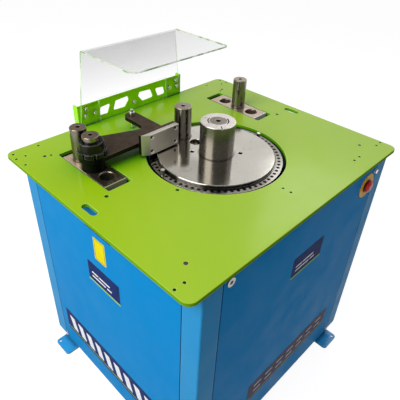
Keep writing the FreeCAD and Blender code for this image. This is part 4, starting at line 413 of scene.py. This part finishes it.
def bar_steel(name):
    """Socket plates: milled faces, painted shade and dark reflection on the front part of the left one, and
    painted reflections on their front end faces.
    """
    shade_full_until = 0.118
    shade_gone_at = 0.150
    rear_start = 0.14
    face_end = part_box("left_bar_plate")[0][1] + 0.0012
    made = Shader(name)
    x, y = made.parts("Object")[:2]
    lines = made.noise(300.0, 4.0, 0.6, (1.0, 0.05, 1.0))
    cloud = made.noise(13.0, 4.0, 0.55, warp=0.4)
    unshaded = made.blend(lines, (0.54, 0.44, 0.35), (0.45, 0.35, 0.265))
    unshaded = made.blend(cloud, unshaded, (0.36, 0.27, 0.19), 0.5, 0.75, 0.6)
    # Painted shade and dark reflection: a dark brown on the left plate's front part
    shaded_front_tone = made.blend(lines, (0.13, 0.11, 0.062), (0.22, 0.185, 0.120))
    front = made.ramp(y, 1.0, 0.0, shade_full_until, shade_gone_at)
    left = made.calc("LESS_THAN", x, 0.0)
    tone = made.mix(made.calc("MULTIPLY", front, left), unshaded, shaded_front_tone)
    # Painted reflection: light colours on the plates' front end faces
    facing_front = made.calc("LESS_THAN", made.parts("Normal")[1], -FLAT)
    end = made.calc("MULTIPLY", facing_front, made.calc("LESS_THAN", y, face_end))
    tone = made.mix(end, tone, made.mix(left, (0.96, 0.94, 0.88), (0.42, 0.40, 0.22)))
    rear = made.calc("MULTIPLY", left, made.calc("GREATER_THAN", y, rear_start))
    tone = made.mix(made.calc("MULTIPLY", rear, 0.6), tone, (0.62, 0.46, 0.31))
    tone = made.edge_wear_and_highlight(tone, (0.92, 0.86, 0.78), 0.0013, 0.8)
    made.give("Base Color", made.shade_and_grime_in_hollows(tone, (0.010, 0.008, 0.006), 0.014, 0.3, 0.8))
    soft = made.calc("MAXIMUM", made.calc("MULTIPLY", end, 0.8), made.calc("MULTIPLY", rear, 0.45))
    made.give("Metallic", made.calc("SUBTRACT", 0.9, soft))
    made.give("Roughness", made.ramp(made.calc("ADD", lines, cloud), 0.20, 0.34, 0.8, 1.25))
    made.bump(lines, 0.15, 0.00006, made.rounded_normal(0.0010))
    return made.material


def clear_sheet(name):
    """Clear bent sheet: a grey sheen that fades away from the bend, and light-catching green edges."""
    guard_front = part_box("guard_sheet")[0][1] + 0.0003
    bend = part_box("guard_sheet")[1][1] - 0.007
    foot = 0.955
    bend_height = 1.12
    made = Shader(name)
    y, z = made.parts("Object")[1:]
    nx, nz = made.parts("Normal")[::2]
    left = made.calc("LESS_THAN", nx, -LEANING)
    right = made.calc("GREATER_THAN", nx, LEANING)
    front = made.calc("LESS_THAN", y, guard_front)
    low = made.calc("MULTIPLY", made.calc("LESS_THAN", nz, -0.5), made.calc("LESS_THAN", z, foot + 0.005))
    edge = made.calc("MAXIMUM", made.calc("MAXIMUM", left, front), low)
    dashes = made.ramp(made.noise(17.0, 2.0, warp=0.6), 0.0, 1.0, 0.42, 0.56)
    glow = made.mix(dashes, (0.22, 0.46, 0.12), (0.74, 0.90, 0.62))
    made.give("Base Color", made.mix(edge, (0.22, 0.22, 0.225), glow))
    level = made.calc("GREATER_THAN", made.calc("ABSOLUTE", nz), FLAT)
    over = made.calc("MULTIPLY", level, made.ramp(y, 0.09, 0.20, guard_front, bend))
    down = made.ramp(z, 0.01, 0.17, foot, bend_height)
    upright = made.calc("MULTIPLY", made.calc("SUBTRACT", 1.0, level), down)
    clouds = made.ramp(made.noise(5.0, 3.0), 0.90, 1.08, 0.3, 0.7)
    veil = made.calc("MULTIPLY", made.calc("ADD", over, upright), clouds)
    shown = made.calc("MAXIMUM", made.calc("MULTIPLY", edge, made.ramp(dashes, 0.85, 0.55)), veil)
    made.give("Alpha", made.calc("MAXIMUM", shown, made.calc("MULTIPLY", right, 0.18)))
    made.give("Roughness", made.ramp(made.noise(40.0, 3.0), 0.04, 0.10, 0.3, 0.7))
    made.give("Specular IOR Level", 0.3)
    made.bump(made.noise(8.0, 2.0), 0.05, 0.0004)
    return made.material


def printed(name, base, second, flecks):
    """Printed foil of a plate or sticker: even ink with faint mottling and rubbed edges."""
    rough = 0.35
    made = Shader(name)
    tone = made.blend(made.noise(35.0, 3.0), base, second, 0.35, 0.65)
    made.give("Base Color", made.blend(made.noise(260.0, 3.0), tone, flecks, 0.62, 0.8, 0.25))
    made.give("Specular IOR Level", 0.01)
    made.give("Roughness", made.ramp(made.noise(80.0, 3.0), rough * 0.85, rough * 1.2, 0.3, 0.7))
    made.bump(made.noise(300.0, 2.0), 0.1, 0.00005)
    return made.material


# Table paint: its edge colour is a painted highlight on the arrises; the three darker greens are painted
# shade on the side faces, near other parts, and with dirt in the corners
lime = table_paint("lime_paint", (0.325, 0.530, 0.004), (0.345, 0.552, 0.010), edge=(0.80, 0.93, 0.38),
                   side_shade=(0.17, 0.37, 0.003), shaded=(0.13, 0.44, 0.003), shade_and_grime_color=(0.018, 0.150, 0.006),
                   rough=0.33, edge_radius=0.0026, peel=0.12, gloss=0.20, coat=0.30)
guard_lime = paint("guard_lime", (0.36, 0.90, 0.002), (0.40, 0.94, 0.006), (0.70, 0.96, 0.25), peel=0.2,
                   gloss=0.1)
blue = panel_paint("blue_paint", (0.001, 0.262, 0.645), (0.004, 0.280, 0.668), edge=(0.10, 0.42, 0.74),
                   shade_and_grime_color=(0.002, 0.070, 0.230), rough=0.38, edge_radius=0.0014, gloss=0.013)
# Painted highlight: the corner posts take a lighter copy of the panel blue
post_blue_highlit = paint("post_paint", (0.022, 0.300, 0.645), (0.050, 0.345, 0.680), (0.20, 0.52, 0.82), rough=0.34,
                  edge_radius=0.0020, peel=0.3, gloss=0.020, shade_and_grime_color=(0.003, 0.060, 0.200), depth=0.012)
frame_blue = paint("frame_paint", (0.011, 0.20, 0.46), (0.020, 0.23, 0.50), (0.10, 0.34, 0.60), rough=0.45,
                   shade_and_grime_color=(0.002, 0.02, 0.07))
# Painted light: the feet take a lighter copy of the panel blue, as their tops face the light
foot_blue_lit = paint("foot_paint", (0.03, 0.40, 0.82), (0.05, 0.44, 0.86), (0.45, 0.78, 0.96), rough=0.25,
                  edge_radius=0.0018, peel=0.2, gloss=0.35, shade_and_grime_color=(0.002, 0.02, 0.09))
casting = paint("grey_casting", (0.14, 0.15, 0.16), (0.19, 0.20, 0.21), (0.35, 0.35, 0.35), rough=0.55)
motor_paint = paint("motor_casting", (0.12, 0.16, 0.20), (0.17, 0.21, 0.25), (0.35, 0.38, 0.42), rough=0.5)
box_grey = paint("grey_box", (0.55, 0.55, 0.52), (0.62, 0.62, 0.60), (0.8, 0.8, 0.8), rough=0.5)

turned = steel("machined_steel", (0.66, 0.62, 0.56), (0.54, 0.50, 0.45), rough=0.28,
               stretch=(1.0, 1.0, 6.0), grain=70.0, stain=(0.50, 0.45, 0.39), edge=(0.90, 0.87, 0.82))
black_steel = steel("black_steel", (0.007, 0.008, 0.006), (0.004, 0.005, 0.003), rough=0.10, grain=90.0,
                    edge=(0.42, 0.41, 0.38), edge_radius=0.0012, scratch=0.0, metallic=0.0,
                    shade_and_grime_color=(0.002, 0.002, 0.001), gloss=0.20)
wear_steel = steel("wear_steel", (0.66, 0.630, 0.570), (0.58, 0.550, 0.495), rough=0.40,
                   stretch=(0.08, 1.0, 1.0), grain=300.0, stain=(0.48, 0.44, 0.385),
                   edge=(0.92, 0.89, 0.83), edge_radius=0.0014, shade_and_grime_color=(0.02, 0.016, 0.012), depth=0.006)
zinc = steel("zinc", (0.78, 0.77, 0.74), (0.62, 0.61, 0.58), rough=0.25, grain=220.0,
             edge=(0.95, 0.94, 0.90), shade_and_grime_color=(0.05, 0.05, 0.05), depth=0.004)
lock_ring = steel("lock_ring", (0.40, 0.385, 0.355), (0.27, 0.26, 0.24), rough=0.22, grain=220.0,
                  edge=(0.85, 0.84, 0.80), edge_radius=0.0012, shade_and_grime_color=(0.02, 0.02, 0.02), depth=0.004)
filler = steel("brown_filler", (0.060, 0.050, 0.020), (0.035, 0.030, 0.012), rough=0.55, grain=500.0,
               scratch=0.3, metallic=0.2)
cream = steel("cream_steel", (0.86, 0.80, 0.68), (0.72, 0.66, 0.55), stretch=(1.0, 1.0, 0.1), grain=300.0,
              edge=(0.95, 0.92, 0.85))

disc_look = disc_steel("faced_disc")
bar_look = bar_steel("socket_plate")
lever_steel = burnished("burnished_steel")
pin_steel = turned_pin("pin_steel", side=(0.22, 0.207, 0.178), stain=(0.10, 0.092, 0.078),
                       top=(0.36, 0.295, 0.240), rim=(0.82, 0.74, 0.66), rough=0.21)
brown_pin = turned_pin("browned_pin", side=(0.24, 0.215, 0.180), stain=(0.12, 0.10, 0.08),
                       top=(0.21, 0.150, 0.108), rim=(0.62, 0.50, 0.40), rough=0.20)
mandrel_core = turned_pin("mandrel_core", side=(0.30, 0.29, 0.25), stain=(0.13, 0.12, 0.10),
                          top=(0.27, 0.24, 0.205), rim=(0.80, 0.76, 0.70))
mandrel_outer = turned_pin("mandrel_sleeve", side=(0.185, 0.172, 0.150), stain=(0.11, 0.10, 0.088),
                           top=(0.76, 0.70, 0.66), rim=(0.96, 0.94, 0.90))

yellow = plastic("yellow_plastic", (0.90, 0.48, 0.03), (0.84, 0.43, 0.03), rough=0.35,
                 spot=(STOP_AXIS, STOP_COLLAR, (0.012, 0.012, 0.012)), gloss=0.06)
red = plastic("red_plastic", (0.62, 0.012, 0.014), (0.54, 0.010, 0.012), rough=0.25, gloss=0.25)
black = plastic("black_plastic", (0.018, 0.018, 0.018), (0.030, 0.030, 0.030), rough=0.5)
clear = clear_sheet("clear_sheet")

navy_print = printed("navy_print", (0.006, 0.020, 0.120), (0.010, 0.030, 0.155), (0.018, 0.042, 0.19))
brown_print = printed("brown_print", (0.070, 0.050, 0.105), (0.100, 0.070, 0.120), (0.14, 0.11, 0.17))
white_print = printed("white_print", (0.93, 0.94, 0.97), (0.88, 0.90, 0.94), (0.70, 0.74, 0.82))
lime_print = printed("lime_print", (0.42, 0.60, 0.08), (0.47, 0.65, 0.12), (0.55, 0.68, 0.25))
yellow_print = printed("yellow_print", (0.88, 0.77, 0.004), (0.84, 0.72, 0.004), (0.72, 0.60, 0.02))

looks = {
    lime: ("table_plate",),
    guard_lime: ("guard_bracket", "hinge_blocks"),
    blue: ("front_panel", "rear_panel", "left_panel", "right_panel"),
    post_blue_highlit: ("front_posts", "back_posts"),
    frame_blue: ("upper_frame", "deck_frame", "lower_frame", "bar_supports"),
    foot_blue_lit: ("front_feet", "rear_feet"),
    turned: ("spindle", "bull_gear", "layshaft", "layshaft_gear", "motor_shaft", "gearbox_bearings"),
    disc_look: ("bending_disc",),
    bar_look: ("left_bar_plate", "right_bar_plate"),
    pin_steel: ("right_pin", "bending_pin"),
    brown_pin: ("rear_left_pin", "middle_left_pin"),
    mandrel_core: ("mandrel_pin",),
    mandrel_outer: ("mandrel_sleeve",),
    lever_steel: ("stop_lever",),
    black_steel: ("notched_collar", "wear_plate_screws", "lock_turn"),
    wear_steel: ("wear_plate",),
    zinc: ("panel_screws", "frame_screws", "hinge_pins", "hinge_screws", "disc_screws", "levelling_screw",
           "guard_screws", "switch_lever"),
    lock_ring: ("lock_case",),
    filler: ("table_screws",),
    cream: ("trip_pins",),
    clear: ("guard_sheet",),
    casting: ("gearbox_housing", "gearbox_base"),
    motor_paint: ("gear_motor",),
    box_grey: ("control_box",),
    yellow: ("stop_base",),
    red: ("stop_head",),
    black: ("motor_cowl", "terminal_box", "stop_block", "stop_stem", "limit_switch", "cable_gland"),
}
for material, names in looks.items():
    for name in names:
        for slot in nodes[name].material_slots:
            slot.material = material


def place_piece(name, made, mesh):
    """Turn the built mesh into a piece that rides on the frame."""
    bmesh.ops.recalc_face_normals(made, faces=made.faces)
    made.to_mesh(mesh)
    made.free()
    piece = bpy.data.objects.new(name, mesh)
    scene.collection.objects.link(piece)
    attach(piece, "frame")


# Printed plates and stickers: thin foils on the sheet faces, with plain bars in place of words
def on_face(face, place, u, v, out):
    """The point at u along and v above the foil's corner, lifted out of the sheet's face."""
    if face == "left":
        return LEFT_FACE - out, place[0] - u, place[1] + v
    return place[0] + u, FRONT_FACE - out, place[1] + v


def foil(name, face, place, layers):
    """A foil of several flat layers; face is left or front, place the foil's corner along and above."""
    made = bmesh.new()
    mesh = bpy.data.meshes.new(name)
    for index, (material, lift, thickness, shapes) in enumerate(layers):
        mesh.materials.append(material)
        for outline in shapes:
            lower, upper = [[made.verts.new(on_face(face, place, u, v, out)) for u, v in outline]
                            for out in (lift, lift + thickness)]
            made.faces.new(upper).material_index = index
            for number, corner in enumerate(lower):
                after = (number + 1) % len(outline)
                side = made.faces.new((corner, lower[after], upper[after], upper[number]))
                side.material_index = index
    place_piece(name, made, mesh)


def rounded(width, height, radius, slant=0.0, steps=5):
    """Corner-rounded outline from 0, 0 that leans by slant over its height."""
    points = []
    for (cx, cy), start in (((width - radius, radius), -90), ((width - radius, height - radius), 0),
                            ((radius, height - radius), 90), ((radius, radius), 180)):
        for step in range(steps + 1):
            angle = math.radians(start + 90 * step / steps)
            x = cx + radius * math.cos(angle)
            y = cy + radius * math.sin(angle)
            points.append((x + slant * y / height, y))
    return points


def shifted(outline, du, dv):
    return [(u + du, v + dv) for u, v in outline]


def bar(width, height, du, dv, slant=0.0):
    return shifted(rounded(width, height, min(width, height) * 0.12, slant, 2), du, dv)


INK = 0.00012
STICKER_THICKNESS = 0.0003
PLATE_THICKNESS = 0.0004
STICKER_BORDER = [bar(0.045, 0.0012, 0.004, 0.0042), bar(0.045, 0.0012, 0.004, 0.0756),
                  bar(0.0012, 0.0690, 0.004, 0.006), bar(0.0012, 0.0690, 0.0478, 0.006)]
PLATE_MARKS = [bar(0.030, 0.0060, 0.016, 0.036, 0.004), bar(0.052, 0.0060, 0.050, 0.036, 0.004),
               bar(0.066, 0.0060, 0.016, 0.021, 0.004), bar(0.022, 0.0060, 0.088, 0.021, 0.004)]
BAND_MARKS = [bar(0.030, 0.062, 0.040 + 0.053 * number, 0.024, -0.018) for number in range(9)]
DASHES = [bar(0.036, 0.0046, 0.030 + 0.060 * number, 0.030 + 0.028 * row, 0.002)
          for number in range(7) for row in range(2)]

# Painted shade: black sheets behind the panels' vents and behind the seams between panels and posts
SHEET = 0.003
SHADE_SHEET = 0.0012
CLEAR = 0.0004
VENT_DEPTH = 0.0078
VENT_Y = (-0.066, 0.070)
VENT_Z = (0.770, 0.806)
SEAM_INSIDE = 0.004
SEAM_OUTSIDE = 0.006
SIDE_BACK = abs(LEFT_FACE) - SHEET - CLEAR
FRONT_BACK = abs(FRONT_FACE) - SHEET - CLEAR
SHADE_SHEET_BEVEL = 0.0003


def block(*spans):
    """The low and the high corner of a box from its two ends along each axis."""
    return tuple(zip(*(sorted(span) for span in spans)))


def shade_sheets(name, blocks):
    """Black strips and trays of painted shade with softened edges, as one piece."""
    made = bmesh.new()
    mesh = bpy.data.meshes.new(name)
    for low, high in blocks:
        corners = [made.verts.new((x, y, z)) for x in (low[0], high[0]) for y in (low[1], high[1])
                   for z in (low[2], high[2])]
        for numbers in ((0, 1, 3, 2), (4, 6, 7, 5), (0, 4, 5, 1), (2, 3, 7, 6), (0, 2, 6, 4), (1, 5, 7, 3)):
            made.faces.new([corners[number] for number in numbers])
    bmesh.ops.bevel(made, geom=list(made.edges), offset=SHADE_SHEET_BEVEL, segments=2, affect="EDGES")
    mesh.materials.append(black)
    place_piece(name, made, mesh)


def vent_shade_tray(side):
    """A back and four walls of painted shade behind a vent, reaching almost to the panel."""
    mouth = side * SIDE_BACK
    bottom = side * (SIDE_BACK - VENT_DEPTH)
    inside_y = (VENT_Y[0] + SHADE_SHEET, VENT_Y[1] - SHADE_SHEET)
    return [block((bottom - side * SHADE_SHEET, bottom), VENT_Y, VENT_Z),
            block((bottom, mouth), (VENT_Y[0], inside_y[0]), VENT_Z),
            block((bottom, mouth), (inside_y[1], VENT_Y[1]), VENT_Z),
            block((bottom, mouth), inside_y, (VENT_Z[0], VENT_Z[0] + SHADE_SHEET)),
            block((bottom, mouth), inside_y, (VENT_Z[1] - SHADE_SHEET, VENT_Z[1]))]


def seam_shade_strips(side, end, heights):
    """The two strips of painted shade at one corner: behind the side panel's seam, and behind the front or
    rear panel's.
    """
    across_y = (end * (SEAM_Y - SEAM_INSIDE), end * (SEAM_Y + SEAM_OUTSIDE))
    across_x = (end * (SEAM_X - SEAM_INSIDE), end * (SEAM_X + SEAM_OUTSIDE))
    return [block((side * SIDE_BACK, side * (SIDE_BACK - SHADE_SHEET)), across_y, heights),
            block(across_x, (side * FRONT_BACK, side * (FRONT_BACK - SHADE_SHEET)), heights)]


rails = [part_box(name) for name in ("lower_frame", "deck_frame", "upper_frame")]
free_heights = [(lower[1][2] + CLEAR, upper[0][2] - CLEAR) for lower, upper in zip(rails, rails[1:])]

# The added pieces, in the order in which the visual table lists them
foil("yellow_sticker", "left", (0.0265, 0.6795),
     [(yellow_print, 0.0, STICKER_THICKNESS, [rounded(0.053, 0.081, 0.004)]),
      (navy_print, STICKER_THICKNESS, INK, STICKER_BORDER)])
for name, face, place in (("left_plate", "left", (0.072, 0.5675)),
                          ("front_plate", "front", (-0.057, 0.6460))):
    foil(name, face, place,
         [(navy_print, 0.0, PLATE_THICKNESS, [shifted(rounded(0.150, 0.071, 0.002), 0.0, 0.0065)]),
          (lime_print, 0.0, PLATE_THICKNESS, [bar(0.150, 0.0052, 0.0, 0.0)]),
          (white_print, PLATE_THICKNESS, INK, PLATE_MARKS)])
# Painted shade: black trays behind the vents
shade_sheets("vent_shade_trays", vent_shade_tray(-1) + vent_shade_tray(1))
# Painted shade: black strips behind the seams
shade_sheets("seam_shade_sheets", [strip for side in (-1, 1) for end in (-1, 1) for heights in free_heights
                      for strip in seam_shade_strips(side, end, heights)])
foil("left_band", "left", (0.284, 0.140),
     [(navy_print, 0.0, PLATE_THICKNESS, [rounded(0.552, 0.108, 0.002)]),
      (white_print, PLATE_THICKNESS, INK, BAND_MARKS),
      (lime_print, PLATE_THICKNESS, INK, [bar(0.552, 0.0030, 0.0, 0.010)])])
foil("front_band", "front", (-0.175, 0.162),
     [(brown_print, 0.0, PLATE_THICKNESS, [rounded(0.460, 0.090, 0.002)]),
      (white_print, PLATE_THICKNESS, INK, DASHES),
      (lime_print, PLATE_THICKNESS, INK, [bar(0.460, 0.0028, 0.0, 0.008)])])


# Floor, world, lights and camera
WHITE = (1.0, 1.0, 1.0)
FLOOR_REACH = 14.0
FLOOR_GREY = (0.50, 0.50, 0.50)
FLOOR_SHADOWED = (0.20, 0.20, 0.20)
FLOOR_GLOW = 0.92
DARK_GREY = (0.12, 0.12, 0.12)
DARK_RIGHT_END = (0.66, 0.52)
DARK_LOWER_END = (0.42, 0.52)
FILL_COLOR = (0.95, 0.97, 1.0)
FILL_STRENGTH = 0.26


def stage_floor():
    """Pale floor: a plain grey for the light it throws back, white with a soft shadow where it is seen."""
    mesh = bpy.data.meshes.new("floor")
    near = -FLOOR_REACH
    far = FLOOR_REACH
    mesh.from_pydata([(near, near, 0), (far, near, 0), (far, far, 0), (near, far, 0)], [], [(0, 1, 2, 3)])
    floor = bpy.data.objects.new("floor", mesh)
    scene.collection.objects.link(floor)
    material = bpy.data.materials.new("floor")
    material.use_nodes = True
    material.node_tree.nodes.clear()
    made = Graph(material.node_tree)
    plain = made.node("ShaderNodeBsdfDiffuse")
    made.feed(plain.inputs["Color"], FLOOR_GREY)
    soft = made.node("ShaderNodeBsdfDiffuse")
    made.feed(soft.inputs["Color"], FLOOR_SHADOWED)
    glow = made.node("ShaderNodeEmission")
    made.feed(glow.inputs["Color"], WHITE)
    made.feed(glow.inputs["Strength"], FLOOR_GLOW)
    both = made.node("ShaderNodeAddShader")
    made.link(soft.outputs[0], both.inputs[0])
    made.link(glow.outputs[0], both.inputs[1])
    out = made.node("ShaderNodeOutputMaterial")
    made.link(made.join(made.seen_rays(), plain, both), out.inputs["Surface"])
    mesh.materials.append(material)


def set_world():
    """White where it is seen, but dark high up except on the right for the metal to mirror; soft fill."""
    world = bpy.data.worlds.new("studio")
    scene.world = world
    world.use_nodes = True
    world.node_tree.nodes.clear()
    made = Graph(world.node_tree)
    direction = made.node("ShaderNodeSeparateXYZ")
    made.link(made.node("ShaderNodeTexCoord").outputs["Generated"], direction.inputs[0])
    height = direction.outputs["Z"]
    level = made.calc("POWER", made.calc("SUBTRACT", 1.0, made.calc("POWER", height, 2.0)), 0.5)
    to_right = made.calc("DIVIDE", direction.outputs["X"], level)
    sideways = made.ramp(to_right, 0.0, 1.0, *DARK_RIGHT_END)
    upward = made.ramp(height, 0.0, 1.0, *DARK_LOWER_END)
    white = made.node("ShaderNodeBackground")
    made.feed(white.inputs["Strength"], 1.0)
    shade = made.mix(made.calc("MULTIPLY", sideways, upward), WHITE, DARK_GREY)
    made.feed(white.inputs["Color"], shade)
    fill = made.node("ShaderNodeBackground")
    made.feed(fill.inputs["Color"], FILL_COLOR)
    made.feed(fill.inputs["Strength"], FILL_STRENGTH)
    out = made.node("ShaderNodeOutputWorld")
    made.link(made.join(made.seen_rays(), fill, white), out.inputs["Surface"])


def area_light(name, place, aim, width, height, power):
    lamp = bpy.data.lights.new(name, "AREA")
    lamp.shape = "RECTANGLE"
    lamp.size = width
    lamp.size_y = height
    lamp.energy = power
    made = bpy.data.objects.new(name, lamp)
    made.location = place
    made.rotation_euler = (Vector(aim) - Vector(place)).to_track_quat("-Z", "Y").to_euler()
    scene.collection.objects.link(made)


def set_camera():
    """The photograph's camera: its turn is given as axis times angle, from the world to the view."""
    turn = Vector((2.05050227, -0.827821262, 0.483484328))
    right, down, ahead = Matrix.Rotation(turn.length, 3, turn.normalized())
    axes = Matrix((right, -down, -ahead)).transposed()
    data = bpy.data.cameras.new("camera")
    data.sensor_width = 36.0
    data.lens = 39.55
    data.shift_x = 0.0076
    data.shift_y = -0.0477
    data.clip_end = 100.0
    camera = bpy.data.objects.new("camera", data)
    camera.matrix_world = Matrix.Translation((-0.8690, -0.7797, 1.5566)) @ axes.to_4x4()
    scene.collection.objects.link(camera)
    scene.camera = camera


stage_floor()
set_world()
area_light("key_light", (-2.8, 0.35, 2.9), (0.0, 0.0, 0.7), 2.6, 2.6, 118.0)
area_light("top_light", (0.3, 0.3, 3.6), (0.0, 0.0, 0.8), 2.2, 2.2, 14.0)
area_light("right_light", (2.75, 0.75, 3.2), (0.15, -0.15, 0.875), 1.4, 1.1, 15.0)
set_camera()
scene.view_settings.view_transform = "Standard"
